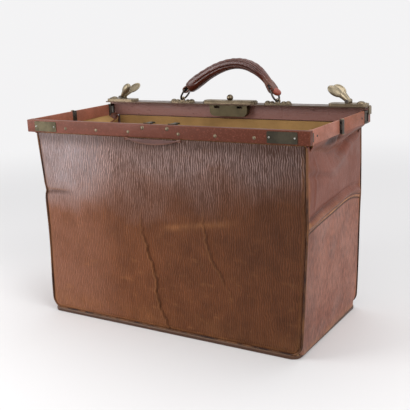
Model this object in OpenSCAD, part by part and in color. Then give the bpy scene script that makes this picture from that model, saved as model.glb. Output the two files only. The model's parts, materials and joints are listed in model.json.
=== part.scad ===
// Gladstone bag, standing open on its base.
// X runs along the opening, Y from the front panel to the rear panel, Z up.
// The origin is the centre of the base on the ground.

/* [Body] */
// Depth of the body from the front panel to the rear panel
body_depth = 227; // [210:1:245]
// Length of the base
base_length = 456; // [430:2:466]
// Height of the underside of the frame
frame_z = 307; // [290:1:325]
// Thickness of the panel leather
panel_leather = 2.5; // [2:0.1:3]
// Thickness of the canvas-covered board inside each panel
panel_lining = 1.5; // [1:0.1:2]
// Thickness of the leather of the end gussets
gusset_leather = 2; // [1.5:0.1:2.5]
// Thickness of the lining of the end gussets
gusset_lining = 1; // [0.8:0.1:1.4]
// Height of the seam between the lower and upper gussets
seam_z = 195; // [170:1:215]
// Radius of the piping along the panel edges
piping_r = 2.2; // [1.8:0.1:2.5]
// Thickness of the leather under the base
base_leather_t = 3; // [2:0.1:4]
// Thickness of the board in the base
base_board_t = 3; // [2:0.1:4]
// Thickness of the lining on the base
base_lining_t = 1.2; // [0.8:0.1:1.6]
// Radius of the base's corners in plan
base_corner_r = 14; // [8:1:20]

/* [Frame] */
// Length of both frame bars
frame_length = 500; // [490:2:530]
// Thickness of both frame bars, leather included
bar_t = 9; // [8:0.5:11]
// Height of the front bar
bar_h = 20; // [18:0.5:22]
// Height of the rear bar
rear_bar_h = 24; // [23:0.5:26]
// Distance that the front bar is set back from the front panel's face
front_setback = 1; // [0:0.5:2]
// Distance that the rear bar stands out behind the rear panel
rear_proud = 5; // [3:0.5:6]
// Thickness of the leather that covers the bars and the arms
cover_t = 0.8; // [0.6:0.1:1]
// Depth of the metal top plate over the rear bar
plate_depth = 24; // [22:0.5:27]
// Thickness of the metal top plate
plate_t = 2; // [1.5:0.1:2.5]
// Thickness of the metal caps on the rear bar's ends
end_cap_t = 1.5; // [1:0.1:2]
// Height of the metal caps on the rear bar's ends
end_cap_h = 13; // [10:0.5:18]

/* [Folding arms] */
// Thickness of the steel strip in each arm
arm_steel_t = 1.4; // [1.2:0.1:1.6]
// Radius of the hinge pins
pin_r = 1.3; // [1:0.1:1.5]
// Radius of the barrels round the end pins
barrel_r = 3; // [2.6:0.1:3.4]
// Radius of the knuckles round the middle pin
knuckle_r = 2.6; // [2.3:0.1:2.9]
// Distance from the rear bar's inner face to the rear pins
rear_reach = 8.5; // [7.5:0.1:9]
// Radius of the rivet heads on the arms
arm_rivet_r = 1.8; // [1.4:0.1:2.2]

/* [Front bar fittings] */
// Distance from the middle of the bag to the first small rivet
rivet_first = 45; // [38:1:46]
// Distance from the last small rivet to the wear plate
rivet_margin = 19.5; // [8:0.5:24]
// Radius of the small rivet heads
rivet_r = 2.6; // [2:0.1:3]
// Length of the wear plates
wear_plate_l = 45; // [38:1:50]
// Height of the wear plates
wear_plate_h = 16; // [12:0.5:17]
// Thickness of the wear plates
wear_plate_t = 0.8; // [0.6:0.1:1.2]
// Distance from each end of the front bar to its wear plate
wear_plate_inset = 17.5; // [12:0.5:26]
// Length of the pull tab under the front bar
tab_length = 100; // [80:1:110]
// Height of the pull tab
tab_drop = 8; // [6:0.5:12]
// Thickness of the pull tab
tab_t = 3.5; // [2:0.5:5]

/* [Lock] */
// Distance of the lock to the right of the middle of the bag
lock_x = 8; // [0:0.5:9]
// Distance from the middle of the lock to each staple and its slot
staple_x = 22; // [20:0.5:23]
// Length of the staples behind the front bar
staple_l = 14; // [13.8:0.1:14.6]
// Width of the staples' tongues
staple_w = 8; // [7:0.1:8.2]
// Thickness of the staples' tongues
staple_t = 2.4; // [2:0.1:2.8]
// Half length of the lock case
case_half = 36; // [35.5:0.5:40]
// Depth of the lock case
case_d = 11.5; // [11.2:0.1:12]
// Wall of the lock case
case_wall = 1; // [0.8:0.1:1.2]
// Radius of the lock bolt's fingers
finger_r = 1.5; // [1.3:0.1:1.5]
// Travel of the lock bolt
bolt_travel = 6; // [5.8:0.1:6.4]
// Half length of the lock cover
cover_half = 50; // [46:1:62]
// Height of the lock cover
lock_cover_h = 5; // [4:0.5:6]
// Radius of the lock knob
knob_r = 5.5; // [4.5:0.1:6.5]

/* [Side latches] */
// Distance from the middle of the bag to each latch pivot
latch_x = 219; // [214:1:222]
// Length of the latch base plates
latch_base_l = 62; // [58:1:64]
// Length of the latch lever from its pivot to its tip
lever_l = 38; // [32:1:40]
// Radius of the latch lever's lobes
lobe_r = 8.7; // [7:0.1:9]
// Angle of the latch lever above the horizontal
lever_angle = 33; // [25:1:60]

/* [Handle] */
// Distance of the handle's middle to the right of the middle of the bag
handle_mid = 5; // [0:0.5:6]
// Distance from the handle's middle to each handle plate
handle_x = 92.5; // [88:0.5:98]
// Length of the handle plates
handle_plate_l = 50; // [44:1:54]
// Radius of the wire of the rings
wire_r = 1.6; // [1.4:0.1:1.8]
// Mean radius of the rings' round lower half
ring_r = 11; // [10.5:0.1:11.5]
// Height of the rings between the lower and upper wire
ring_h = 20; // [18:0.5:24]
// Angle at which the left ring leans inwards at rest
left_ring_lean = 34; // [25:1:40]
// Angle at which the right ring leans inwards at rest
right_ring_lean = 24; // [18:1:30]
// Width of the handle grip
grip_w = 24; // [21:0.5:26]
// Thickness of the handle grip
grip_t = 15; // [12:0.5:16]
// Rise of the handle grip's control points above its left end
grip_rise = 50; // [44:1:56]

/* [Hidden] */

$fn = 48;
gap = 0.3;
joint_gap = 0.4;
bore_gap = 0.08;

left = -1;
right = 1;
front = -1;
rear = 1;

leather_front = "#6e4838";
leather_frame = "#82402f";
leather_gusset = "#8c6458";
leather_handle = "#5c3430";
canvas = "#a5874a";
brass = "#8c7a55";
old_brass = "#6e6e50";
steel = "#5a564f";
wood = "#b08a5a";
board = "#9a8468";
piping_brown = "#4a2a20";

half_depth = body_depth / 2;
panel_t = panel_leather + panel_lining;
panel_y = half_depth - panel_t / 2;
base_top = base_leather_t + base_board_t;
tilt_z = base_top + gap + panel_t / 2;
level_z = frame_z - gap - panel_t / 2;
swing_r = level_z - tilt_z;

// The bars run along X and the arms run between their ends
front_bar_y = -half_depth + front_setback + bar_t / 2;
front_bar_back = front_bar_y + bar_t / 2;
front_bar_face = front_bar_y - bar_t / 2;
rear_bar_y = half_depth + rear_proud - bar_t / 2;
rear_bar_inner = rear_bar_y - bar_t / 2;
rear_bar_outer = rear_bar_y + bar_t / 2;
bar_top = frame_z + bar_h;
plate_z = frame_z + rear_bar_h;
plate_top = plate_z + plate_t;
plate_front = rear_bar_outer - plate_depth;
plate_y = rear_bar_outer - plate_depth / 2;

arm_t = arm_steel_t + 2 * cover_t;
lug_r = barrel_r + 0.2;
arm_x = frame_length / 2 - lug_r;
knuckle_offset = lug_r + joint_gap;
rear_pin_y = rear_bar_inner - rear_reach;
front_pin_y = front_bar_back + lug_r + joint_gap;
arm_pin_y = (rear_pin_y + front_pin_y) / 2;
arm_pin_x = arm_x + knuckle_offset;
lug_h = 3.6;
barrel_z = frame_z + lug_h + gap;
barrel_h = bar_h - 2 * (lug_h + gap);
knuckle_h = 6;
mid_knuckle_z = frame_z + knuckle_h + gap;
mid_knuckle_h = bar_h - 2 * (knuckle_h + gap);
arm_end = lug_r + joint_gap + 0.4;
arm_mid_end = knuckle_r + joint_gap + 0.1;
pin_head_t = 1;
arm_rivet_y = 15;
arm_rivet_h = 0.9;

// Travel that brings the folded arms side by side between the bars
closed_back = rear_pin_y - 2 * knuckle_offset - (front_pin_y - front_bar_back);
side_travel = (closed_back - front_bar_back) / 2;
close_angle = asin(side_travel / swing_r);
arm_ratio = 90 / close_angle;

// The gussets flare from the base to the seam and stand upright above it
gusset_t = gusset_leather + gusset_lining;
gusset_clear = 5.3;
gusset_top_x = arm_x - arm_t / 2 - gusset_clear;
gusset_base_x = base_length / 2;
gusset_y = half_depth - 4;
gusset_sag_gap = 3;
panel_clear = 1.1;
bead = 0.3;
pillow = 2.5;
pillow_low = 1;
pillow_full_low = 8;
pillow_full_high = 60;
pillow_high = 85;
pillow_y = gusset_y - 8;

small_rivet_z = frame_z + 8;
wear_plate_x = frame_length / 2 - wear_plate_inset - wear_plate_l / 2;
rivet_pitch = (wear_plate_x - wear_plate_l / 2 - rivet_margin - rivet_first) / 2;
staple_z = frame_z + 20;
staple_base_z = frame_z + 11;
staple_base_t = 1.2;
staple_base_half = 4;
staple_rivet_z = frame_z + 15;
staple_rivet_shift = -4;
notch_inset = 3;
notch_r = finger_r + 0.5;
notch_y = front_bar_back + staple_l - notch_inset;
bolt_y = closed_back + staple_l - notch_inset;
slot_half = staple_w / 2 + 1;
slot_gap = 0.6;
case_z = frame_z + 4.5;
case_round = 9.5;
tab_rise = 1;
finger_x = staple_w / 2 + 0.5 + finger_r;
finger_top = staple_z + staple_t / 2 + 0.8;
carrier_h = 2.4;
carrier_half = finger_r + 0.3;
carrier_z = staple_z - staple_t / 2 - 1 - carrier_h;
knob_x = lock_x + 3;
stem_r = 2;
cover_step = 1.5;
lock_cover_w = 19;

latch_base_t = 4;
latch_base_w = 21;
latch_base_corner_r = 6;
latch_rivets = [7, 16];
lever_t = 2.4;
latch_pin_r = 1.5;
latch_barrel_r = 3;
latch_ear_t = 2;
latch_barrel_w = 12;
latch_z = plate_top + latch_base_t + latch_barrel_r + joint_gap;
latch_pin_head_t = 1.6;
lobe_splay = 14;
lobe_offset = 3;
ear_clearance = 1.5;

handle_plate_t = 1.2;
handle_plate_w = 15;
handle_lobe_r = 6.5;
handle_middle_r = 9;
handle_rivet_inset = 7.5;
eyelet_w = 3;
eyelet_r = 4.2;
ring_bore_r = wire_r + 0.7;
eyelet_z = plate_top + handle_plate_t + eyelet_r;
loop_r = 6;
bulb_r = 4.6;
bulb_l = 10.5;
bulb_drop = 33;
bulb_neck = bulb_r - 0.5;
grip_left_lead = 68;
grip_right_lead = 39;
grip_right_rise = 1.32 * grip_rise;
loop_w = 2 * (ring_r - wire_r - joint_gap);
bulb_half = loop_w / 2 - 0.5;

// Half length of the gussets' outer face at a height
function gusset_x(z) =
    z >= seam_z ? gusset_top_x : gusset_base_x + (gusset_top_x - gusset_base_x) * z / seam_z;

// Half length of the panels at a height, clear of the gussets over the whole swing
function panel_x(z) = gusset_x(z) - gusset_t - panel_clear - 2 * (piping_r + bead);

// Height that the closing bars leave free above a gusset at a distance from its middle
function free_z(y) =
    let (reach = min(side_travel, half_depth - y + bar_t))
    level_z - swing_r + sqrt(swing_r * swing_r - reach * reach) - gusset_sag_gap;

function reversed(points) = [for (i = [len(points) - 1:-1:0]) points[i]];

// Outline of an upper gusset in the YZ plane, with its sagging top edge
function gusset_outline(low) =
    let (steps = 6)
    let (side = [for (i = [0:steps]) [gusset_y * (1 - i / steps), free_z(gusset_y * (1 - i / steps))]])
    concat([[-gusset_y, low], [gusset_y, low]], side, [for (i = [steps - 1:-1:0]) [-side[i][0], side[i][1]]]);

function plate_x(side) = handle_mid + side * handle_x;

function ring_lean(side) = side == left ? left_ring_lean : -right_ring_lean;

// Middle of a ring's straight bar, in the XZ plane
function ring_top(side) =
    [plate_x(side) + ring_h * sin(ring_lean(side)), eyelet_z + ring_h * cos(ring_lean(side))];

// Point on the handle's centre line, from 0 at the left end to 1 at the right end
function grip_point(t) =
    let (a = ring_top(left))
    let (d = ring_top(right))
    let (b = a + [grip_left_lead, grip_rise])
    let (c = d + [-grip_right_lead, grip_right_rise])
    pow(1 - t, 3) * a + 3 * t * pow(1 - t, 2) * b + 3 * t * t * (1 - t) * c + pow(t, 3) * d;

function grip_normal(t) =
    let (v = grip_point(min(1, t + 0.01)) - grip_point(max(0, t - 0.01)))
    [-v[1], v[0]] / norm(v);

// Places a mirrored copy for the left side
module on_side(side) {
    if (side == left) mirror([1, 0, 0]) children();
    else children();
}

module box(x0, x1, y0, y1, z0, z1) {
    translate([x0, y0, z0]) cube([x1 - x0, y1 - y0, z1 - z0]);
}

module x_rod(r, x0, x1, y, z) {
    translate([x0, y, z]) rotate([0, 90, 0]) cylinder(r = r, h = x1 - x0);
}

module y_rod(r, x, y0, y1, z) {
    translate([x, y0, z]) rotate([-90, 0, 0]) cylinder(r = r, h = y1 - y0);
}

module z_rod(r, x, y, z0, z1) {
    translate([x, y, z0]) cylinder(r = r, h = z1 - z0);
}

// Plate with round corners, its underside at z = 0
module round_plate(l, w, t, r) {
    linear_extrude(t) {
        square([l - 2 * r, w], center = true);
        square([l, w - 2 * r], center = true);
        for (x = [-1, 1], y = [-1, 1])
            translate([x * (l / 2 - r), y * (w / 2 - r)]) circle(r);
    }
}

// Low dome whose flat side is at z = 0
module rivet_head(r, h) {
    sphere_r = (r * r + h * h) / (2 * h);
    intersection() {
        translate([0, 0, h - sphere_r]) sphere(sphere_r);
        cylinder(r = r + 1, h = h + 1);
    }
}

// Slot along X with round ends
module slot_cut(x0, x1, y, r, z0, z1) {
    z_rod(r, x0, y, z0, z1);
    z_rod(r, x1, y, z0, z1);
    box(x0, x1, y - r, y + r, z0, z1);
}

// Base of the body

module base_leather() {
    color(leather_front) round_plate(base_length, body_depth, base_leather_t, base_corner_r);
}

module base_board() {
    color(board) translate([0, 0, base_leather_t])
        round_plate(base_length, body_depth, base_board_t, base_corner_r);
}

module base_lining() {
    inset = 2 * (gusset_t + gap);
    color(canvas) translate([0, 0, base_top])
        round_plate(2 * panel_x(base_top) - inset, body_depth - 2 * panel_t - inset, base_lining_t, 4);
}

// Piping that runs round the base's edge, half sunk between the leather and the board
module base_piping() {
    z = base_leather_t;
    color(piping_brown) difference() {
        translate([0, 0, z - piping_r / 2])
            round_plate(base_length + piping_r, body_depth + piping_r, piping_r, base_corner_r);
        translate([0, 0, z - piping_r])
            round_plate(base_length, body_depth, 2 * piping_r, base_corner_r);
    }
}

// End gussets

// Slab that follows the gusset's flare, between two distances inside its outer face
module gusset_slab(outer, inner, low) {
    y = gusset_y;
    rotate([90, 0, 0]) translate([0, 0, -y]) linear_extrude(2 * y)
        polygon([
            [gusset_x(low) - inner, low],
            [gusset_x(low) - outer, low],
            [gusset_x(seam_z) - outer, seam_z],
            [gusset_x(seam_z) - inner, seam_z]
        ]);
}

module upright_slab(x0, x1, low) {
    translate([x0, 0, 0]) rotate([90, 0, 90]) linear_extrude(x1 - x0)
        polygon(gusset_outline(low));
}

module lower_gusset(side) {
    color(leather_gusset) on_side(side) gusset_slab(0, gusset_leather, base_top);
}

// The upper gusset has a padded roll just above the seam
module upper_gusset(side) {
    x = gusset_top_x;
    color(leather_gusset) on_side(side) {
        upright_slab(x - gusset_leather, x, seam_z);
        rotate([90, 0, 0]) translate([0, 0, -pillow_y]) linear_extrude(2 * pillow_y)
            polygon([
                [x, seam_z + pillow_low],
                [x + pillow, seam_z + pillow_full_low],
                [x + pillow, seam_z + pillow_full_high],
                [x, seam_z + pillow_high]
            ]);
    }
}

module end_lining(side) {
    x = gusset_top_x - gusset_leather;
    color(canvas) on_side(side) {
        gusset_slab(gusset_leather, gusset_t, base_top);
        upright_slab(x - gusset_lining, x, seam_z);
    }
}

// Front and rear sides, drawn at the front and mirrored for the rear

module at_panel(face) {
    if (face == rear) mirror([0, 1, 0]) children();
    else children();
}

// Panel slab between two distances inside its outer face
module panel_slab(outer, inner) {
    intersection() {
        translate([0, -half_depth + inner, 0]) rotate([90, 0, 0]) linear_extrude(inner - outer)
            polygon([
                [-panel_x(tilt_z), base_top],
                [panel_x(tilt_z), base_top],
                [panel_x(seam_z), seam_z],
                [panel_x(seam_z), frame_z],
                [-panel_x(seam_z), frame_z],
                [-panel_x(seam_z), seam_z]
            ]);
        panel_section();
    }
}

// Section of a panel, round at both edges where it hinges
module panel_section() {
    l = frame_length;
    x_rod(panel_t / 2, -l / 2, l / 2, -panel_y, tilt_z);
    x_rod(panel_t / 2, -l / 2, l / 2, -panel_y, level_z);
    box(-l / 2, l / 2, -half_depth, -half_depth + panel_t, tilt_z, level_z);
}

module side_panel(face) {
    color(leather_front) at_panel(face) panel_slab(0, panel_leather);
}

module side_lining(face) {
    color(canvas) at_panel(face) panel_slab(panel_leather, panel_t);
}

// Piping along both upright edges of a panel, with a bead where it bends at the seam
module side_piping(face) {
    low = [panel_x(tilt_z) + piping_r + bead, tilt_z];
    high = [panel_x(seam_z) + piping_r + bead, seam_z];
    lean = atan2(high[0] - low[0], high[1] - low[1]);
    color(piping_brown) at_panel(face) for (side = [left, right]) on_side(side) {
        translate([low[0], -panel_y, low[1]]) rotate([0, lean, 0])
            cylinder(r = piping_r, h = norm(high - low));
        translate([high[0], -panel_y, high[1]]) sphere(piping_r + bead);
        z_rod(piping_r, high[0], -panel_y, seam_z, level_z);
    }
}

// Rear bar and its metal top

module bar(y, h, inset) {
    l = frame_length - 2 * inset;
    translate([-l / 2, y - bar_t / 2 + inset, frame_z + inset])
        cube([l, bar_t - 2 * inset, h - 2 * inset]);
}

module rear_bar_core() {
    color(wood) bar(rear_bar_y, rear_bar_h, cover_t);
}

module rear_bar_cover() {
    color(leather_frame) difference() {
        bar(rear_bar_y, rear_bar_h, 0);
        bar(rear_bar_y, rear_bar_h, cover_t);
    }
}

module top_plate() {
    l = frame_length;
    lip = 1.2;
    color(brass) difference() {
        union() {
            box(-l / 2, l / 2, plate_front, rear_bar_outer, plate_z, plate_top);
            box(-l / 2, l / 2, rear_bar_outer, rear_bar_outer + lip, plate_z - 3, plate_top);
        }
        knob_slot(plate_z - 1, plate_top + 1);
    }
}

// Metal cap that wraps the end of the rear bar
module end_cap(side) {
    w = bar_t + 1;
    r = 3;
    x = frame_length / 2;
    color(brass) on_side(side)
        translate([x, rear_bar_outer - w, plate_top - end_cap_h]) rotate([90, 0, 90])
            linear_extrude(end_cap_t) {
                square([w, end_cap_h - r]);
                translate([r, 0]) square([w - 2 * r, end_cap_h]);
                for (y = [r, w - r]) translate([y, end_cap_h - r]) circle(r);
            }
}

// Fixed eyes and pin at the end of a bar, for the end of an arm
module bracket(side, pin_y, bar_face) {
    low = min(pin_y, bar_face);
    high = max(pin_y, bar_face);
    color(steel) on_side(side) {
        for (z = [frame_z, bar_top - lug_h]) {
            box(arm_x - lug_r, arm_x + lug_r, low, high, z, z + lug_h);
            z_rod(lug_r, arm_x, pin_y, z, z + lug_h);
        }
        box(
            arm_x - lug_r, arm_x + lug_r,
            bar_face > pin_y ? bar_face - 1.2 : bar_face, bar_face > pin_y ? bar_face : bar_face + 0.2,
            frame_z, bar_top
        );
        z_rod(pin_r, arm_x, pin_y, frame_z, bar_top);
    }
}

// Folding arms, drawn on the right

// Steel strip with a barrel at the bar's end and knuckles at the middle
module arm(side, pin_y, toward, knuckles) {
    steel_x0 = arm_x - arm_steel_t / 2;
    steel_x1 = arm_x + arm_steel_t / 2;
    barrel_side = pin_y - toward * arm_end;
    knuckle_side = arm_pin_y + toward * arm_mid_end;
    rivet_y = pin_y - toward * arm_rivet_y;
    color(steel) on_side(side) difference() {
        union() {
            box(
                steel_x0, steel_x1, min(barrel_side, knuckle_side), max(barrel_side, knuckle_side),
                frame_z + cover_t, bar_top - cover_t
            );
            box(
                steel_x0, steel_x1, min(barrel_side, pin_y), max(barrel_side, pin_y),
                barrel_z, barrel_z + barrel_h
            );
            z_rod(barrel_r, arm_x, pin_y, barrel_z, barrel_z + barrel_h);
            for (k = knuckles) {
                z_rod(knuckle_r, arm_pin_x, arm_pin_y, k[0], k[0] + k[1]);
                box(
                    steel_x0, arm_pin_x,
                    min(knuckle_side + toward * 1.5, arm_pin_y + toward * 0.6),
                    max(knuckle_side + toward * 1.5, arm_pin_y + toward * 0.6),
                    k[0], k[0] + k[1]
                );
            }
            x_rod(arm_rivet_r / 2, arm_x, arm_x + arm_t / 2, rivet_y, frame_z + bar_h / 2);
            translate([arm_x + arm_t / 2, rivet_y, frame_z + bar_h / 2]) rotate([0, 90, 0])
                rivet_head(arm_rivet_r, arm_rivet_h);
        }
        z_rod(pin_r + bore_gap, arm_x, pin_y, frame_z - 1, bar_top + 1);
        z_rod(pin_r + bore_gap, arm_pin_x, arm_pin_y, frame_z - 1, bar_top + 1);
    }
}

// Leather sewn round the steel strip
module arm_cover(side, pin_y, toward) {
    a = pin_y - toward * (arm_end + 0.6);
    b = arm_pin_y + toward * (arm_mid_end + 2.2);
    rivet_y = pin_y - toward * arm_rivet_y;
    color(leather_frame) on_side(side) difference() {
        box(arm_x - arm_t / 2, arm_x + arm_t / 2, min(a, b), max(a, b), frame_z, bar_top);
        box(
            arm_x - arm_steel_t / 2, arm_x + arm_steel_t / 2, min(a, b) - 1, max(a, b) + 1,
            frame_z + cover_t, bar_top - cover_t
        );
        x_rod(arm_rivet_r / 2, arm_x, arm_x + arm_t, rivet_y, frame_z + bar_h / 2);
    }
}

outer_knuckles = [[frame_z, knuckle_h], [bar_top - knuckle_h, knuckle_h]];
inner_knuckle = [[mid_knuckle_z, mid_knuckle_h]];

module rear_arm(side) {
    arm(side, rear_pin_y, rear, outer_knuckles);
}

module front_arm(side) {
    arm(side, front_pin_y, front, inner_knuckle);
}

// Pin through the middle knuckles, with a flat head at each end
module arm_pin(side) {
    color(brass) on_side(side) {
        z_rod(pin_r, arm_pin_x, arm_pin_y, frame_z - pin_head_t, bar_top + pin_head_t);
        for (z = [frame_z - pin_head_t, bar_top])
            z_rod(knuckle_r, arm_pin_x, arm_pin_y, z, z + pin_head_t);
    }
}

// Front bar and its fittings

module front_bar_core() {
    color(wood) bar(front_bar_y, bar_h, cover_t);
}

module front_bar_cover() {
    color(leather_frame) difference() {
        bar(front_bar_y, bar_h, 0);
        bar(front_bar_y, bar_h, cover_t);
    }
}

module front_bar_rivets() {
    color(steel) {
        for (side = [left, right], i = [0:2])
            translate([side * (rivet_first + i * rivet_pitch), front_bar_face, small_rivet_z]) rotate([90, 0, 0])
                rivet_head(rivet_r, 1.4);
        for (side = [left, right])
            translate([lock_x + side * staple_x + staple_rivet_shift, front_bar_face, staple_rivet_z])
                rotate([90, 0, 0]) rivet_head(rivet_r * 1.2, 1.8);
    }
}

module wear_plate(side) {
    color(old_brass) on_side(side)
        translate([wear_plate_x, front_bar_face, frame_z + bar_h / 2]) rotate([90, 0, 0]) {
            round_plate(wear_plate_l, wear_plate_h, wear_plate_t, 1.5);
            for (x = [-1, 1])
                translate([x * (wear_plate_l / 2 - 3.5), 0, wear_plate_t]) rivet_head(1.3, 0.5);
        }
}

// Notched tongue behind the front bar that enters the lock case
module staple(side) {
    x = lock_x + side * staple_x;
    notch_x = x + finger_x - bolt_travel;
    low = staple_z - staple_t / 2;
    high = staple_z + staple_t / 2;
    color(steel) difference() {
        union() {
            box(
                x - staple_w / 2, x + staple_w / 2,
                front_bar_back, front_bar_back + staple_l, low, high
            );
            box(
                x + staple_rivet_shift - staple_base_half, x + staple_w / 2,
                front_bar_back, front_bar_back + staple_base_t, staple_base_z, high
            );
        }
        z_rod(notch_r, notch_x, notch_y, low - 1, high + 1);
        box(notch_x, x + staple_w, notch_y - notch_r, notch_y + notch_r, low - 1, high + 1);
    }
}

// Half-moon leather tab on the front panel's top edge, short enough to clear the tilting bar
module pull_tab() {
    r = (tab_length * tab_length / 4 + tab_drop * tab_drop) / (2 * tab_drop);
    low = level_z + tab_rise - tab_drop;
    color(leather_frame) translate([0, -half_depth, 0]) rotate([90, 0, 0]) linear_extrude(tab_t)
        intersection() {
            translate([0, low + r]) circle(r, $fn = 180);
            translate([-tab_length / 2, low]) square([tab_length, tab_drop]);
        }
}

// Lock

module knob_slot(z0, z1) {
    slot_cut(knob_x - bolt_travel, knob_x, bolt_y, stem_r + joint_gap, z0, z1);
}

// Outline of the lock case with round lower corners
module case_outline(inset) {
    half = case_half - inset;
    low = case_z + inset;
    translate([-half, low + case_round]) square([2 * half, plate_z - inset - low - case_round]);
    translate([-half + case_round, low]) square([2 * (half - case_round), case_round]);
    for (s = [-1, 1]) translate([s * (half - case_round), low + case_round]) circle(case_round);
}

module lock_case() {
    y = rear_bar_inner;
    color(old_brass) difference() {
        translate([lock_x, y, 0]) rotate([90, 0, 0]) linear_extrude(case_d) case_outline(0);
        translate([lock_x, y + 1, 0]) rotate([90, 0, 0])
            linear_extrude(case_d - case_wall + 1) case_outline(case_wall);
        for (x = [lock_x - staple_x, lock_x + staple_x])
            box(
                x - slot_half, x + slot_half, y - case_d - 1, y,
                staple_z - staple_t / 2 - slot_gap, staple_z + staple_t / 2 + slot_gap
            );
        knob_slot(plate_z - 2 * case_wall, plate_z + 1);
    }
}

module lock_cover() {
    l = 2 * cover_half;
    color(brass) difference() {
        translate([lock_x, plate_y, plate_top]) {
            round_plate(l, lock_cover_w, lock_cover_h - cover_step, 6);
            round_plate(l - 2 * cover_step, lock_cover_w - 2 * cover_step, lock_cover_h, 5);
        }
        knob_slot(plate_top - 1, plate_top + lock_cover_h + 1);
    }
}

// Carrier bar with an upright finger for each staple's notch
module lock_bolt() {
    color(steel) translate([lock_x, 0, 0]) {
        box(
            -staple_x + finger_x - finger_r - 1, staple_x + finger_x + finger_r + 1,
            bolt_y - carrier_half, bolt_y + carrier_half, carrier_z, carrier_z + carrier_h
        );
        for (s = [-1, 1])
            z_rod(finger_r, s * staple_x + finger_x, bolt_y, carrier_z + carrier_h / 2, finger_top);
    }
}

module lock_knob() {
    y = bolt_y;
    floor_z = plate_top + lock_cover_h + joint_gap;
    centre_z = floor_z + knob_r * 0.8;
    color(brass) {
        z_rod(stem_r, knob_x, y, carrier_z + carrier_h, floor_z + 1);
        intersection() {
            translate([knob_x, y, centre_z]) sphere(knob_r);
            z_rod(knob_r, knob_x, y, floor_z, floor_z + 3 * knob_r);
        }
    }
}

// Side latches

module latch_base(side) {
    x = frame_length / 2 - latch_base_l / 2;
    ear_y = latch_barrel_w / 2 + joint_gap;
    color(brass) on_side(side) difference() {
        union() {
            translate([x, plate_y, plate_top])
                round_plate(latch_base_l, latch_base_w, latch_base_t, latch_base_corner_r);
            for (s = [-1, 1]) {
                y = plate_y + s * (ear_y + latch_ear_t / 2);
                y_rod(latch_barrel_r, latch_x, y - latch_ear_t / 2, y + latch_ear_t / 2, latch_z);
                box(
                    latch_x - latch_barrel_r, latch_x + latch_barrel_r,
                    y - latch_ear_t / 2, y + latch_ear_t / 2, plate_top, latch_z
                );
            }
        }
        y_rod(latch_pin_r + bore_gap, latch_x, plate_y - latch_base_w, plate_y + latch_base_w, latch_z);
    }
}

// Lever with two spoon-shaped lobes side by side
module latch_lever(side) {
    color(brass) on_side(side) translate([latch_x, plate_y, latch_z]) rotate([0, lever_angle, 0])
        difference() {
            union() {
                y_rod(latch_barrel_r, 0, -latch_barrel_w / 2, latch_barrel_w / 2, 0);
                translate([0, 0, latch_barrel_r - lever_t]) linear_extrude(lever_t) lever_outline();
            }
            y_rod(latch_pin_r + bore_gap, 0, -latch_barrel_w, latch_barrel_w, 0);
        }
}

// Outline of the lever, no wider than its barrel between the base plate's ears
module lever_outline() {
    tip = lever_l - lobe_r;
    far = 2 * lever_l;
    intersection() {
        union() {
            for (s = [-1, 1]) {
                angle = 180 - s * lobe_splay;
                rotate(angle) translate([0, -s * lobe_offset]) {
                    translate([tip, 0]) circle(lobe_r);
                    polygon([[4, -4], [tip - 2, -lobe_r + 0.3], [tip - 2, lobe_r - 0.3], [4, 4]]);
                }
            }
            translate([-7, -latch_barrel_w / 2]) square([7, latch_barrel_w]);
        }
        union() {
            translate([-far, -far]) square([far - latch_barrel_r - ear_clearance, 2 * far]);
            translate([-far, -latch_barrel_w / 2]) square([far, latch_barrel_w]);
        }
    }
}

module latch_pin(side) {
    half = latch_barrel_w / 2 + joint_gap + latch_ear_t;
    color(steel) on_side(side) {
        y_rod(latch_pin_r, latch_x, plate_y - half, plate_y + half, latch_z);
        y_rod(latch_barrel_r, latch_x, plate_y - half - latch_pin_head_t, plate_y - half, latch_z);
    }
}

// Handle and its fittings

module handle_plate(side) {
    end_x = handle_plate_l / 2 - handle_lobe_r;
    color(brass) difference() {
        translate([plate_x(side), plate_y, plate_top]) {
            linear_extrude(handle_plate_t) {
                square([2 * end_x, handle_plate_w], center = true);
                for (s = [-1, 1]) translate([s * end_x, 0]) circle(handle_lobe_r);
                circle(handle_middle_r);
            }
            translate([0, 0, eyelet_r + handle_plate_t]) rotate([90, 0, 0])
                cylinder(r = eyelet_r, h = eyelet_w, center = true);
            translate([-eyelet_r, -eyelet_w / 2, 0]) cube([2 * eyelet_r, eyelet_w, eyelet_r + handle_plate_t]);
        }
        y_rod(ring_bore_r, plate_x(side), plate_y - eyelet_w, plate_y + eyelet_w, eyelet_z);
    }
}

// Domed rivets of the handle plates and of the latch base plates
module plate_rivets() {
    color(brass) for (side = [left, right]) {
        for (s = [-1, 1])
            translate([
                plate_x(side) + s * (handle_plate_l / 2 - handle_rivet_inset),
                plate_y,
                plate_top + handle_plate_t
            ])
                rivet_head(4.2, 3);
        for (x = latch_rivets)
            translate([side * (frame_length / 2 - x), plate_y, plate_top + latch_base_t])
                rivet_head(2, 1.2);
    }
}

// Ring with a round lower half, two legs and a straight bar for the handle's loop
module ring(side) {
    color(steel) translate([plate_x(side), plate_y, eyelet_z]) rotate([0, ring_lean(side), 0]) {
        translate([0, 0, ring_r]) rotate([0, 90, 0]) rotate([0, 0, -90])
            rotate_extrude(angle = 180) translate([ring_r, 0]) circle(wire_r);
        for (s = [-1, 1]) {
            z_rod(wire_r, 0, s * ring_r, ring_r, ring_h);
            translate([0, s * ring_r, ring_h]) sphere(wire_r);
        }
        y_rod(wire_r, 0, -ring_r, ring_r, ring_h);
    }
}

// Band along the handle's centre line between two points of it
module grip_band(w, t, from, to) {
    steps = 16;
    ts = [for (i = [0:steps]) from + (to - from) * i / steps];
    upper = [for (s = ts) grip_point(s) + grip_normal(s) * t / 2];
    lower = [for (s = ts) grip_point(s) - grip_normal(s) * t / 2];
    translate([0, plate_y + w / 2, 0]) rotate([90, 0, 0]) linear_extrude(w)
        polygon(concat(upper, reversed(lower)));
}

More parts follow.
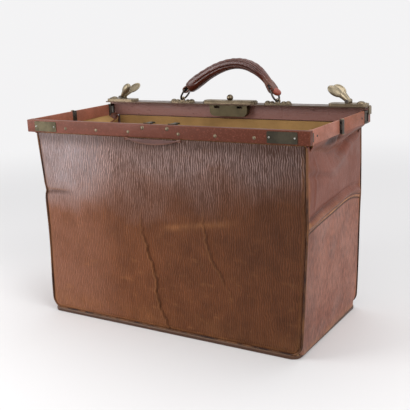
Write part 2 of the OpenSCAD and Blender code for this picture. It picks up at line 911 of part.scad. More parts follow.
module handle_grip() {
    color(leather_handle) difference() {
        union() {
            grip_band(grip_w - 6, grip_t, 0.12, 0.76);
            grip_band(grip_w, grip_t - 5, 0.09, 0.84);
            grip_band(loop_w, grip_t - 8, 0, 1);
            for (side = [left, right])
                y_rod(
                    loop_r, ring_top(side)[0],
                    plate_y - loop_w / 2, plate_y + loop_w / 2, ring_top(side)[1]
                );
            translate([ring_top(right)[0], plate_y, ring_top(right)[1]]) rotate([0, bulb_drop, 0]) {
                box(0, bulb_l, -bulb_half, bulb_half, -bulb_neck, bulb_neck);
                y_rod(bulb_r, bulb_l, -bulb_half, bulb_half, 0);
            }
        }
        for (side = [left, right])
            y_rod(
                ring_bore_r, ring_top(side)[0],
                plate_y - grip_w, plate_y + grip_w, ring_top(side)[1]
            );
    }
}

base_leather();
base_board();
base_lining();
base_piping();
lower_gusset(left);  // left_lower_gusset
lower_gusset(right);  // right_lower_gusset
upper_gusset(left);  // left_upper_gusset
upper_gusset(right);  // right_upper_gusset
end_lining(left);  // left_end_lining
end_lining(right);  // right_end_lining
side_panel(front);  // front_panel
side_lining(front);  // front_lining
side_piping(front);  // front_piping
side_panel(rear);  // rear_panel
side_lining(rear);  // rear_lining
side_piping(rear);  // rear_piping
rear_bar_core();
rear_bar_cover();
top_plate();
end_cap(left);  // left_end_cap
end_cap(right);  // right_end_cap
bracket(left, rear_pin_y, rear_bar_inner);  // left_rear_bracket
bracket(right, rear_pin_y, rear_bar_inner);  // right_rear_bracket
rear_arm(left);  // left_rear_arm
rear_arm(right);  // right_rear_arm
arm_cover(left, rear_pin_y, rear);  // left_rear_arm_cover
arm_cover(right, rear_pin_y, rear);  // right_rear_arm_cover
front_arm(left);  // left_front_arm
front_arm(right);  // right_front_arm
arm_cover(left, front_pin_y, front);  // left_front_arm_cover
arm_cover(right, front_pin_y, front);  // right_front_arm_cover
arm_pin(left);  // left_arm_pin
arm_pin(right);  // right_arm_pin
front_bar_core();
front_bar_cover();
bracket(left, front_pin_y, front_bar_back);  // left_front_bracket
bracket(right, front_pin_y, front_bar_back);  // right_front_bracket
front_bar_rivets();
wear_plate(left);  // left_wear_plate
wear_plate(right);  // right_wear_plate
staple(left);  // left_staple
staple(right);  // right_staple
pull_tab();
lock_case();
lock_cover();
lock_bolt();
lock_knob();
latch_base(left);  // left_latch_base
latch_base(right);  // right_latch_base
latch_lever(left);  // left_latch_lever
latch_lever(right);  // right_latch_lever
latch_pin(left);  // left_latch_pin
latch_pin(right);  // right_latch_pin
handle_plate(left);  // left_handle_plate
handle_plate(right);  // right_handle_plate
plate_rivets();
ring(left);  // left_ring
ring(right);  // right_ring
handle_grip();
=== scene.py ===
"""Gladstone bag: leather skins, linings, piping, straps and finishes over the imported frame."""

import json
import math
from contextlib import contextmanager
from functools import partial

import bpy
import numpy as np
from mathutils import Matrix, Vector


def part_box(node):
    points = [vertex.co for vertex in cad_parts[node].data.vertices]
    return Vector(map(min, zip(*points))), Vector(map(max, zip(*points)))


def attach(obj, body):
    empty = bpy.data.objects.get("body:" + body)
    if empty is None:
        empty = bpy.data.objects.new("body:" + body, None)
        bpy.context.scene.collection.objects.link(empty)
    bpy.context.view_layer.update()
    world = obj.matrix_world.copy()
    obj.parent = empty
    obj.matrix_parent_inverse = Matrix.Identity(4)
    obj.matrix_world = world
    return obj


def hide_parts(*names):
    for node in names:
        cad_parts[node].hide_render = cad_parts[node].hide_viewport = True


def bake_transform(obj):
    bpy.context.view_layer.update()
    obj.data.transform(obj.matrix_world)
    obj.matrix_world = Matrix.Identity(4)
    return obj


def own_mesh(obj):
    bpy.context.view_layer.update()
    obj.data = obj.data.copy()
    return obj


bl_info = {
    "name": "Gladstone Bag",
    "version": (1, 0, 0),
    "blender": (4, 5, 0),
    "location": "View3D > Sidebar > Bag",
    "description": "Dresses the frame of a gladstone bag in worn leather, canvas and brass",
    "category": "Object",
}

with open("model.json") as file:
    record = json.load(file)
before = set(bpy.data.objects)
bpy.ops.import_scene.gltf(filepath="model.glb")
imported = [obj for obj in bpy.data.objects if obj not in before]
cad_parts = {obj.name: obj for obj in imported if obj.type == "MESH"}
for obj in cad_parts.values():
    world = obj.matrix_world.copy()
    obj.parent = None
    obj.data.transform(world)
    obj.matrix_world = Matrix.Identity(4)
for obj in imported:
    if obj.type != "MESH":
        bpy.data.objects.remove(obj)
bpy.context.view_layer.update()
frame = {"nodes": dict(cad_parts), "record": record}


def middle_of(node):
    """Centre of a node's box."""
    low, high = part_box(node)
    return (low + high) / 2


MM = 0.001
FRONT, REAR = -1, 1
ENDS = {"front": FRONT, "rear": REAR}
SIDES = {"left": -1, "right": 1}
QUARTERS = [(where, side, half, end) for where, side in SIDES.items() for half, end in ENDS.items()]

# Places and reaches that come from the frame, in metres
FACE_Y = -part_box("front_panel")[0].y
PANEL_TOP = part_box("front_panel")[1].z
BASE_HALF_X, BASE_HALF_Y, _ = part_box("base_leather")[1]
BASE_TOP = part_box("base_board")[1].z
GUSSET_TOP_X, _, SEAM_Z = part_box("right_lower_gusset")[1]
BAR_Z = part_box("front_bar_cover")[0].z
ARM_LOW, ARM_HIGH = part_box("right_front_arm_cover")
ARM_PIN_Y = middle_of("right_arm_pin").y
PLATE_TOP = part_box("top_plate")[1].z
HANDLE_Y = middle_of("handle_grip").y

# Leather of the flaps and gores, and canvas behind the flaps
THIN_LEATHER = 1.1 * MM
THIN_CANVAS = 0.7 * MM

# Piping: its reach past the gusset, its distance from the middle, its lowest line and its corners
PIPE_OUT = 0.8 * MM
PIPE_Y = FACE_Y - 2 * MM
PIPE_LOW_Z = BASE_TOP + 0.4 * MM
PIPE_CORNER = 18 * MM
SOLE_CORNER = 14 * MM


# Sizes and colours


def length(name, description, millimetres):
    return bpy.props.FloatProperty(name=name, description=description, default=millimetres * MM, unit="LENGTH")


class BagSizes(bpy.types.PropertyGroup):
    """Sizes of the soft pieces."""

    panel_bulge: length("Panel bulge", "How far the front and rear leather swells out", 3.2)
    panel_leather: length("Panel leather", "Thickness of the panel leather", 2.2)
    gusset_leather: length("Gusset leather", "Thickness of the gusset leather", 1.7)
    lining: length("Lining", "Thickness of the canvas lining", 0.9)
    piping_radius: length("Piping radius", "Radius of the piping along the edges", 1.5)
    stitch: length("Stitch", "Length of one stitch", 2.9)
    grip_width: length("Grip width", "Width of the handle's grip", 24)
    grip_thickness: length("Grip thickness", "Thickness of the handle's grip", 17)


def colour(name, description, default):
    return bpy.props.FloatVectorProperty(
        name=name, description=description, default=default, size=3, min=0, max=1, subtype="COLOR_GAMMA"
    )


class BagColours(bpy.types.PropertyGroup):
    """Colours of the finishes, as they show on a screen."""

    # The grey of the panels' top is mostly a painted sheen
    panel_high: colour("Panel, high", "Long-grain leather under the bar", (0.42, 0.34, 0.32))
    panel_middle: colour("Panel, middle", "Long-grain leather half way up", (0.41, 0.24, 0.142))
    panel_low: colour("Panel, low", "Long-grain leather near the base", (0.46, 0.27, 0.16))
    # The sole's dark leather is darkened further as painted shade along the bag's foot
    sole: colour("Sole", "Leather under the base", (0.19, 0.10, 0.065))
    # Painted reflection of light from the left: the next colour pales the panels' left part, the one after
    # greys its top left
    paled: colour("Panel, faded", "Long-grain leather faded by light on the left", (0.56, 0.37, 0.285))
    left_sheen_high: colour("Panel, faded high", "Greyed leather at the top left", (0.63, 0.58, 0.585))
    seam: colour("Seam", "Leather rubbed pale along the gusset seams", (0.70, 0.50, 0.34))
    worn: colour("Worn edge", "Leather where it is rubbed to the tan", (0.60, 0.40, 0.25))
    gusset_high: colour("Upper gusset", "Smooth leather of the upper gussets", (0.475, 0.27, 0.21))
    gusset_low: colour("Lower gusset", "Grained leather of the lower gussets", (0.575, 0.375, 0.305))
    bars: colour("Front bar", "Leather round the front bar", (0.46, 0.245, 0.205))
    # The front bar's darker right end is painted shade, away from the light on the left
    bar_end: colour("Front bar, dark end", "Front bar leather towards its right end", (0.27, 0.06, 0.02))
    # The rear bar's inner face is greyed as a painted sheen, the pale background reflected in its gloss
    rear_bar_sheen: colour("Rear bar", "Leather round the rear bar, greyed by handling", (0.62, 0.46, 0.44))
    arms: colour("Arms", "Leather round the folding arms", (0.65, 0.395, 0.335))
    rear_arms: colour("Right rear arm", "Leather round the right arm's rear half", (0.55, 0.26, 0.16))
    tab: colour("Pull tab", "Leather of the half-moon tab", (0.36, 0.215, 0.19))
    bulb: colour("Handle end", "Redder leather at the handle's right end", (0.62, 0.30, 0.23))
    light_brass: colour("Latch brass", "Levers of the latches, rubbed light", (0.60, 0.55, 0.46))
    dark_brass: colour("Dark brass", "Right wear plate and staples", (0.25, 0.225, 0.175))
    nails: colour("Nail heads", "Nails of the wear plates", (0.62, 0.61, 0.58))
    handle: colour("Handle leather", "Leather of the handle", (0.33, 0.135, 0.095))
    piping: colour("Piping", "Piping and dark thread", (0.17, 0.09, 0.07))
    canvas: colour("Canvas", "Lining of the bag", (0.76, 0.60, 0.385))
    brass: colour("Brass", "Handle plates and latch bases", (0.46, 0.41, 0.335))
    plate: colour("Top plate", "Browned metal along the rear bar", (0.31, 0.25, 0.21))
    old_brass: colour("Old brass", "Lock case and left wear plate", (0.36, 0.325, 0.24))
    steel: colour("Steel", "Rings, pins, rivets and arms", (0.30, 0.28, 0.26))
    wood: colour("Wood", "Cores of the bars", (0.62, 0.47, 0.30))
    board: colour("Board", "Board in the base", (0.55, 0.47, 0.38))
    backdrop: colour("Backdrop", "Background behind the bag", (0.955, 0.953, 0.957))


def sizes():
    return bpy.context.scene.bag_sizes


def linear(values):
    """A screen colour in linear light, with alpha."""
    return tuple(v / 12.92 if v <= 0.04045 else ((v + 0.055) / 1.055) ** 2.4 for v in values) + (1.0,)


def shade(name):
    """A colour of the bag as the shader wants it."""
    return linear(getattr(bpy.context.scene.bag_colours, name))


def toned(rgba, factor):
    """A colour made darker or lighter by a factor."""
    return tuple(min(1.0, c * factor) for c in rgba[:3]) + (1.0,)


# Modelling helpers


def clear_selection():
    if bpy.context.object and bpy.context.object.mode != "OBJECT":
        bpy.ops.object.mode_set(mode="OBJECT")
    bpy.ops.object.select_all(action="DESELECT")


def choose(obj):
    clear_selection()
    obj.select_set(True)
    bpy.context.view_layer.objects.active = obj
    return obj


@contextmanager
def editing(obj, first="SELECT"):
    """Edit mode on one object, with all of its mesh selected or deselected first, or neither."""
    choose(obj)
    bpy.ops.object.mode_set(mode="EDIT")
    if first:
        bpy.ops.mesh.select_all(action=first)
    yield
    bpy.ops.object.mode_set(mode="OBJECT")


def take(name):
    """Names the object that was just added, and its mesh."""
    obj = bpy.context.object
    obj.name = name
    obj.data.name = name
    return obj


def settle(obj):
    """Puts the object's place and size into its mesh."""
    choose(obj)
    bpy.ops.object.transform_apply(location=True, rotation=True, scale=True)
    return obj


def smooth(obj, angle=40):
    choose(obj)
    bpy.ops.object.shade_smooth_by_angle(angle=math.radians(angle))
    return obj


def modified(obj, kind, **settings):
    """Adds a modifier with its settings and applies it."""
    choose(obj)
    made = obj.modifiers.new(kind.lower(), kind)
    for key, value in settings.items():
        setattr(made, key, value)
    bpy.ops.object.modifier_apply(modifier=made.name)
    return obj


def thicken(obj, thickness, offset=-1):
    """Gives a sheet its thickness, inwards from its face, or to both sides at offset 0."""
    return modified(obj, "SOLIDIFY", thickness=thickness, offset=offset)


def bevel(obj, width, segments=3, angle=30):
    """Rounds the edges that turn by more than an angle."""
    limit = math.radians(angle)
    return modified(obj, "BEVEL", width=width, segments=segments, limit_method="ANGLE", angle_limit=limit)


def outwards(obj):
    """Merges doubles and turns all faces outwards."""
    with editing(obj):
        bpy.ops.mesh.remove_doubles(threshold=1e-6)
        bpy.ops.mesh.normals_make_consistent(inside=False)
    return obj


def points_of(obj):
    """The mesh's points as rows of x, y and z."""
    co = np.zeros(len(obj.data.vertices) * 3)
    obj.data.vertices.foreach_get("co", co)
    return co.reshape(-1, 3)


def put_points(obj, points):
    obj.data.vertices.foreach_set("co", np.asarray(points, float).ravel())
    obj.data.update()


def sheet(name, across, along, place):
    """A sheet of leather or cloth. place turns the shares across and along it into points, wear and painted
    shade.
    """
    clear_selection()
    bpy.ops.mesh.primitive_grid_add(x_subdivisions=across, y_subdivisions=along, size=1)
    obj = take(name)
    flat = points_of(obj)
    points, *marks = place(flat[:, 0] + 0.5, flat[:, 1] + 0.5)
    put_points(obj, points)
    for key, values in zip(("wear", "painted_shade"), marks):
        mark = obj.data.attributes.new(key, "FLOAT", "POINT")
        mark.data.foreach_set("value", np.clip(values, 0, 1).astype(np.float32))
    return obj


def facing(obj, direction):
    """Turns the sheet's face towards a direction."""
    total = Vector()
    for p in obj.data.polygons:
        total += p.normal * p.area
    if total.dot(Vector(direction)) < 0:
        with editing(obj):
            bpy.ops.mesh.flip_normals()
    return obj


def skin(name, across, along, place, direction, thickness, angle=40):
    """A sheet that faces a direction, with its thickness behind its face."""
    obj = facing(sheet(name, across, along, place), direction)
    return smooth(thicken(obj, thickness), angle)


def tube(name, points, radius, closed=False, sides=2):
    """A round strip along a line of points."""
    clear_selection()
    bpy.ops.curve.primitive_nurbs_path_add()
    curve = take(name).data
    curve.splines.clear()
    line = curve.splines.new("POLY")
    line.points.add(len(points) - 1)
    for point, at in zip(line.points, points):
        point.co = (*at, 1)
    line.use_cyclic_u = closed
    curve.dimensions = "3D"
    curve.bevel_depth = radius
    curve.bevel_resolution = sides
    curve.use_fill_caps = not closed
    bpy.ops.object.convert(target="MESH")
    return smooth(outwards(take(name)), 60)


def block(name, low, high):
    """A plain block between two corners, as a start."""
    clear_selection()
    low, high = Vector(low), Vector(high)
    bpy.ops.mesh.primitive_cube_add(size=1, location=(low + high) / 2, scale=high - low)
    return settle(take(name))


def box(name, low, high, edge, segments=3):
    """A block between two corners with soft edges."""
    return smooth(bevel(block(name, low, high), edge, segments))


def egg(name, at, half, segments, rings, turn=(0, 0, 0), angle=60):
    """A dome or egg with its half sizes."""
    clear_selection()
    bpy.ops.mesh.primitive_uv_sphere_add(
        segments=segments, ring_count=rings, radius=1, location=at, rotation=turn, scale=half
    )
    return smooth(settle(take(name)), angle)


def collar(name, at, radius, thick, segments, sides, turn=(0, 0, 0), stretch=1):
    """A round rim, longer one way by a factor."""
    clear_selection()
    bpy.ops.mesh.primitive_torus_add(
        major_segments=segments,
        minor_segments=sides,
        major_radius=radius,
        minor_radius=thick,
        location=at,
        rotation=turn,
    )
    rim = take(name)
    rim.scale = (stretch, 1, 1)
    return smooth(settle(rim), 60)


def joined(name, parts):
    """Makes one piece of several."""
    choose(parts[0])
    for part in parts:
        part.select_set(True)
    bpy.ops.object.join()
    return take(name)


def stitches(name, places, long, radius):
    """Stitches of thread, one at each place with its direction and its outward side."""
    clear_selection()
    bpy.ops.mesh.primitive_uv_sphere_add(segments=6, ring_count=4, radius=0.5)
    seed = take(name)
    shape = points_of(seed) * (long, 2 * radius, 1.4 * radius)
    faces = [tuple(p.vertices) for p in seed.data.polygons]
    points, polygons = [], []
    for at, along, out in places:
        along, out = Vector(along).normalized(), Vector(out).normalized()
        turn = Matrix((along, out.cross(along), out)).transposed()
        start = len(points)
        points += [Vector(at) + turn @ Vector(p) for p in shape]
        polygons += [tuple(start + i for i in f) for f in faces]
    mesh = bpy.data.meshes.new(name)
    mesh.from_pydata([tuple(p) for p in points], [], polygons)
    seed.data = mesh
    return smooth(outwards(seed), 80)


def dress(obj, finish):
    """Gives an object its material."""
    obj.data.materials.clear()
    obj.data.materials.append(finish)
    return obj


def fit(obj, finish, slot, body, *nodes):
    """Dresses a piece, lets it ride on its body and puts it in the place of nodes."""
    dress(obj, finish_of(finish))
    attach(obj, body)
    if nodes:
        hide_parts(*nodes)
    return obj


def waves(a, b, seed, size=0.12, count=9):
    """Gentle unevenness between about -1 and 1, the same at each run."""
    made = np.random.default_rng(seed)
    total = np.zeros_like(a)
    for _ in range(count):
        turn, phase = made.uniform(0, 2 * math.pi, 2)
        pace = 2 * math.pi / (size * made.uniform(0.6, 1.8))
        total += np.sin((a * math.cos(turn) + b * math.sin(turn)) * pace + phase)
    return total / (0.7 * count)


def ridge(distance, width):
    """A round bump, 1 at its middle."""
    return np.exp(-((distance / width) ** 2))


def between(values, pairs):
    """Reads a table of pairs, a place and an amount, with straight lines in between."""
    return np.interp(values, *zip(*pairs))


def fade(values, low, high):
    """Goes smoothly from 0 at the low value to 1 at the high one."""
    t = np.clip((values - low) / (high - low), 0, 1)
    return t * t * (3 - 2 * t)


# Outline of the body

# Left front edge: how far the leather is drawn in at each height, both in mm
DRAWN_IN = (
    (0, 0), (27, 2), (110, 10.5), (152, 14.5), (203, 17),
    (212, 20), (222, 17.5), (253, 15), (294, 12), (310, 11),
)
RIGHT_BULGE = 4.0
REAR_DRAWN_IN = 4


def reach(side, y, z):
    """Distance of an end of the bag from the middle, where the leather is drawn in or bulges with age."""
    even = np.where(z >= SEAM_Z, GUSSET_TOP_X, BASE_HALF_X + (GUSSET_TOP_X - BASE_HALF_X) * z / SEAM_Z)
    front = np.full_like(z, RIGHT_BULGE) if side > 0 else -between(z / MM, DRAWN_IN)
    rear = -REAR_DRAWN_IN * fade(z, 0.03, 0.19)
    share = (1 - y / FACE_Y) / 2
    return even + (front * share + rear * (1 - share)) * MM


def pipe_reach(side, face, z):
    """Distance of the piping from the middle, with its round lower corner."""
    x = reach(side, face * FACE_Y, z) + PIPE_OUT
    drop = np.clip(PIPE_LOW_Z + PIPE_CORNER - z, 0, PIPE_CORNER)
    return x - PIPE_CORNER + np.sqrt(PIPE_CORNER**2 - drop**2)


# Finishes


class Nodes:
    """A tree of shader nodes."""

    def __init__(self, tree):
        self.tree = tree

    def node(self, kind, **settings):
        made = self.tree.nodes.new(kind)
        for key, value in settings.items():
            setattr(made, key, value)
        return made

    def feed(self, socket, value):
        if isinstance(value, bpy.types.NodeSocket):
            self.tree.links.new(value, socket)
        else:
            socket.default_value = value

    def fed(self, kind, output, inputs, **settings):
        """One output of a new node, whose inputs are fed by name or number."""
        made = self.node(kind, **settings)
        for key, value in inputs.items():
            self.feed(made.inputs[key], value)
        return made.outputs[output]


class Finish(Nodes):
    """A material and the nodes that make its pattern."""

    def __init__(self, name, roughness, metallic=0.0, **sockets):
        self.material = bpy.data.materials.new(name)
        self.material.use_nodes = True
        super().__init__(self.material.node_tree)
        self.shader = self.tree.nodes["Principled BSDF"]
        for socket, value in {"Roughness": roughness, "Metallic": metallic, **sockets}.items():
            self.shader.inputs[socket.replace("_", " ")].default_value = value
        self.places = self.node("ShaderNodeTexCoord").outputs["Object"]

    def axis(self, letter):
        return self.fed("ShaderNodeSeparateXYZ", letter, {0: self.places})

    def attribute(self, name):
        return self.node("ShaderNodeAttribute", attribute_name=name).outputs["Fac"]

    def pointed(self):
        """How far a place is an outer edge of the mesh."""
        return self.node("ShaderNodeNewGeometry").outputs["Pointiness"]

    def stretched(self, scale, turn=(0, 0, 0)):
        scale = (scale,) * 3 if isinstance(scale, (int, float)) else scale
        inputs = {"Vector": self.places, "Scale": scale, "Rotation": turn}
        return self.fed("ShaderNodeMapping", "Vector", inputs)

    def noise(self, scale, detail=3.0, rough=0.5, bend=0.0):
        inputs = {"Scale": 1.0, "Detail": detail, "Roughness": rough, "Distortion": bend}
        return self.fed("ShaderNodeTexNoise", "Fac", {"Vector": self.stretched(scale), **inputs})

    def pits(self, scale):
        return self.fed("ShaderNodeTexVoronoi", "Distance", {"Vector": self.stretched(scale), "Scale": 1.0})

    def bands(self, scale, bend, direction="X", turn=(0, 0, 0), **inputs):
        """Lines across a direction, broken and bent by noise."""
        inputs = {"Vector": self.stretched(scale, turn), "Scale": 1.0, "Distortion": bend, **inputs}
        return self.fed("ShaderNodeTexWave", "Fac", inputs, wave_type="BANDS", bands_direction=direction)

    def level(self, value, low, high, start=0.0, end=1.0, smooth=False):
        """Turns the stretch from low to high into the stretch from start to end."""
        inputs = {"Value": value, "From Min": low, "From Max": high, "To Min": start, "To Max": end}
        kind = "SMOOTHSTEP" if smooth else "LINEAR"
        return self.fed("ShaderNodeMapRange", "Result", inputs, interpolation_type=kind)

    def maths(self, operation, a, b):
        return self.fed("ShaderNodeMath", "Value", {0: a, 1: b}, operation=operation)

    def times(self, a, b):
        return self.maths("MULTIPLY", a, b)

    def larger(self, a, b):
        return self.maths("MAXIMUM", a, b)

    def ramp(self, value, *stops):
        made = self.node("ShaderNodeValToRGB")
        self.feed(made.inputs["Fac"], value)
        for place, _ in stops[1:-1]:
            made.color_ramp.elements.new(place)
        for element, (place, rgba) in zip(made.color_ramp.elements, stops):
            element.position = place
            element.color = rgba
        return made.outputs["Color"]

    def blend(self, share, a, b, kind="MIX"):
        return self.fed("ShaderNodeMix", 2, {"Factor": share, 6: a, 7: b}, data_type="RGBA", blend_type=kind)

    def two_tone(self, scale, a, b):
        """Two colours in soft patches."""
        return self.blend(self.level(self.noise(scale, 3), 0.4, 0.6), a, b)

    def relief(self, value, distance, strength, under=None):
        """Bumps of a depth in mm, on top of finer ones."""
        inputs = {"Strength": strength, "Distance": distance * MM, "Height": value}
        if under:
            inputs["Normal"] = under
        return self.fed("ShaderNodeBump", "Normal", inputs)

    def done(self, colour, roughness=None, normal=None):
        for socket, value in (("Base Color", colour), ("Roughness", roughness), ("Normal", normal)):
            if value is not None:
                self.feed(self.shader.inputs[socket], value)
        return self.material


def long_grain_leather():
    """Crimped leather of the panels: short upright ridges, with a painted grey sheen under the bar, and redder
    below.
    """
    f = Finish("long_grain_leather", 0.5, Specular_IOR_Level=0.14)
    high, middle, low = shade("panel_high"), shade("panel_middle"), shade("panel_low")
    paled, worn = shade("paled"), shade("worn")
    x, z = f.axis("X"), f.axis("Z")

    # Colour by height, lower towards the right: a painted grey sheen on top, and painted shade under the bar
    lowered = f.level(x, -0.2, 0.2, -0.02, 0.022)
    uneven = f.level(f.noise(11, 4, 0.6), 0.3, 0.7, -0.022, 0.022)
    rise = f.maths("SUBTRACT", f.maths("ADD", z, uneven), lowered)
    up = f.level(rise, 0.0, 0.31)
    stops = ((0.0, toned(low, 0.95)), (0.3, low), (0.6, middle), (0.85, high), (1.0, toned(high, 0.86)))
    base = f.ramp(up, *stops)
    patches = f.times(f.level(f.noise(19, 6, 0.66), 0.42, 0.64), 0.6)
    mottled = f.blend(patches, base, f.blend(0.5, toned(low, 0.62), base, "MULTIPLY"))
    # Painted reflection of light from the left: the panels' left part paler, in patches, and greyer at its top
    left = f.level(x, -0.04, -0.17, smooth=True)
    left_sheen_share = f.times(left, f.level(f.noise(24, 5, 0.65), 0.3, 0.55, 0.45, 1.0))
    pale = f.ramp(up, (0.0, paled), (0.6, toned(paled, 0.9)), (0.9, shade("left_sheen_high")))
    colours = f.blend(left_sheen_share, mottled, pale)

    # Ridges of the grain, with their sheen and dark furrows
    lines = f.bands((92, 92, 62), 7.5, Detail=3)
    grain = f.times(lines, f.level(f.noise((290, 290, 62), 3, 0.6, 0.4), 0.3, 0.56, 0.25, 1.0))
    crest = f.level(grain, 0.25, 0.85, smooth=True)
    shining = f.level(f.noise((14, 14, 9), 3), 0.3, 0.65, 0.45, 1.0)
    sheen = f.times(f.level(rise, 0.17, 0.275, 0.3, 1.0, smooth=True), shining)
    light = f.blend(f.level(rise, 0.185, 0.265), toned(middle, 1.7), toned(high, 2.8))
    colours = f.blend(f.times(crest, sheen), colours, light)
    colours = f.blend(f.level(grain, 0.04, 0.36, 0.55, 0.0), colours, toned(low, 0.4))

    # Wear, and painted shade
    scuffs = f.level(f.noise((34, 34, 90), 5, 0.65), 0.56, 0.7, 0, 0.4)
    scuffed = f.times(scuffs, f.level(z, 0.19, 0.1, 0.25, 1))
    tan = f.times(f.attribute("wear"), f.level(f.noise(90, 5, 0.65), 0.3, 0.56, 0.35, 0.95))
    colours = f.blend(f.larger(tan, scuffed), colours, f.two_tone(40, toned(worn, 1.1), toned(worn, 0.7)))
    # Painted shade: darker towards the right, away from the light on the left
    darker = f.blend(1.0, colours, f.level(x, -0.05, 0.23, 1.07, 0.63), "MULTIPLY")
    # Painted shade where the mesh marks it: in creases, along the edges and under the bar
    colours = f.blend(f.attribute("painted_shade"), darker, toned(low, 0.2))
    normal = f.relief(grain, 1.2, 0.85, f.relief(f.noise(800, 3), 0.3, 0.5))
    return f.done(colours, f.level(grain, 0.1, 0.8, 0.62, 0.42), normal)


def gusset_leather():
    """Leather of the gussets: smooth and redder above the seam, fine upright grain below it."""
    f = Finish("gusset_leather", 0.5, Specular_IOR_Level=0.25)
    high, low, seam = shade("gusset_high"), shade("gusset_low"), shade("seam")
    below = f.level(f.axis("Z"), 0.2, 0.193, smooth=True)
    blotch = f.level(f.noise(13, 5, 0.6), 0.36, 0.64)
    colours = f.blend(f.times(blotch, 0.6), f.blend(below, high, low), toned(high, 0.66))
    greyed = f.level(f.noise((11, 20, 20), 3), 0.48, 0.68, 0, 0.45)
    colours = f.blend(greyed, colours, toned(shade("panel_high"), 1.25))
    grain = f.noise((420, 420, 95), 3, 0.55, 0.2)
    crest = f.times(f.level(grain, 0.48, 0.66), f.level(below, 0, 1, 0.1, 0.45))
    furrow = f.times(f.level(grain, 0.34, 0.48, 0.5, 0.0), f.level(below, 0, 1, 0.25, 1))
    colours = f.blend(furrow, f.blend(crest, colours, toned(low, 1.55)), toned(high, 0.45))
    tan = f.times(f.attribute("wear"), f.level(f.noise(80, 5, 0.65), 0.28, 0.55, 0.4, 1.0))
    colours = f.blend(tan, colours, f.two_tone(45, seam, toned(seam, 0.55)))
    # Painted shade where the mesh marks it: in the seams and folds, and over the front part
    colours = f.blend(f.attribute("painted_shade"), colours, toned(high, 0.25))
    wrinkles = f.noise((50, 110, 60), 5, 0.6, 0.8)
    normal = f.relief(wrinkles, 1.6, 0.45, f.relief(grain, 0.8, 0.6))
    return f.done(colours, f.level(blotch, 0, 1, 0.42, 0.56), normal)


def strap_leather(
    name, tone, worn_share=0.35, roughness=0.42, dark_end=None, gloss=0.36, wrinkle=0.7, inner=None
):
    """Smooth leather of bars, arms, tab and handle, with scuffs and lighter edges.

    dark_end colours its right end as painted shade, inner its side towards the bag's inside as painted sheen.
    """
    f = Finish(name, roughness, Specular_IOR_Level=gloss)
    base = shade(tone)
    patches = f.level(f.noise((18, 40, 40), 5, 0.62), 0.36, 0.66)
    colours = f.blend(patches, base, toned(base, 0.6))
    # A painted sheen on the side towards the bag's inside
    if inner:
        colours = f.blend(f.level(f.axis("Y"), 0.1105, 0.1125), shade(inner), colours)
    # Painted shade: darker towards the right end, away from the light on the left
    if dark_end:
        colours = f.blend(f.level(f.axis("X"), -0.22, 0.1, 0.0, 0.95), colours, shade(dark_end))
    fine = f.noise(420, 4, 0.65)
    colours = f.blend(f.level(fine, 0.52, 0.72, 0.0, 0.45), colours, toned(base, 1.6))
    cracks = f.level(f.noise((90, 260, 260), 4, 0.7), 0.3, 0.4, 0.7, 0.0)
    colours = f.blend(cracks, colours, toned(base, 0.35))
    rubbed = f.level(f.pointed(), 0.51, 0.58, 0.0, worn_share, smooth=True)
    scuffs = f.level(f.noise((70, 180, 180), 4, 0.7), 0.6, 0.72, 0.0, worn_share)
    tan = f.larger(f.larger(rubbed, scuffs), f.times(f.attribute("wear"), worn_share * 1.4))
    colours = f.blend(tan, colours, toned(shade("worn"), 0.9))
    # Painted shade where the mesh marks it, in the handle's channels and grooves
    colours = f.blend(f.attribute("painted_shade"), colours, toned(base, 0.3))
    normal = f.relief(f.noise(130, 5, 0.65, 0.4), wrinkle, 0.6, f.relief(fine, 0.25, 0.6))
    return f.done(colours, f.level(patches, 0, 1, roughness - 0.06, roughness + 0.12), normal)


def canvas_cloth():
    """Plain weave of the lining, stained unevenly."""
    f = Finish("canvas_cloth", 0.88, Specular_IOR_Level=0.2)
    base = shade("canvas")
    weave = f.times(*(f.bands(330, 1.0, "DIAGONAL", (0, math.radians(turn), 0)) for turn in (0, 90)))
    stained = f.blend(f.level(f.noise(12, 5, 0.6), 0.42, 0.7), base, toned(base, 0.6))
    colours = f.blend(f.level(weave, 0.0, 0.8, 0.3, 0.0), stained, toned(base, 0.55))
    return f.done(colours, None, f.relief(weave, 0.4, 0.7))


def worn_metal(name, tone, roughness, polish=0.45, metallic=0.85):
    """Metal with a dull skin, rubbed bright in places, and fine scratches and pits."""
    f = Finish(name, roughness, metallic)
    base = shade(tone)
    dull = f.level(f.noise(55, 5, 0.65), 0.38, 0.64)
    edges = f.level(f.pointed(), 0.53, 0.6, 0.0, polish)
    bright = f.larger(edges, f.level(f.noise(23, 3), 0.55, 0.75, 0.0, polish))
    colours = f.blend(bright, f.blend(dull, toned(base, 0.62), base), toned(base, 1.9))
    scratches = f.noise((60, 1600, 1600), 2, 0.5)
    normal = f.relief(scratches, 0.08, 0.5, f.relief(f.pits(700), 0.1, 0.35))
    return f.done(colours, f.level(dull, 0, 1, roughness + 0.12, roughness - 0.08), normal)


def fibres(name, tone, roughness, shadow, strength, *grain):
    """Wood or board, with its grain in a darker tone."""
    f = Finish(name, roughness)
    lines = f.noise(*grain)
    colours = f.ramp(lines, (0.3, toned(shade(tone), shadow)), (0.7, shade(tone)))
    return f.done(colours, None, f.relief(lines, 0.3, strength))


def piping_leather():
    f = Finish("piping_leather", 0.5, Specular_IOR_Level=0.2)
    rubbed = f.level(f.noise((60, 60, 24), 4, 0.6), 0.4, 0.6, 0.0, 0.6)
    colours = f.blend(rubbed, shade("piping"), toned(shade("worn"), 0.7))
    return f.done(colours, None, f.relief(f.noise(420, 3), 0.25, 0.6))


def thread():
    f = Finish("waxed_thread", 0.6)
    stops = ((0.3, toned(shade("piping"), 0.8)), (0.7, toned(shade("worn"), 0.55)))
    return f.done(f.ramp(f.noise(900, 2), *stops))


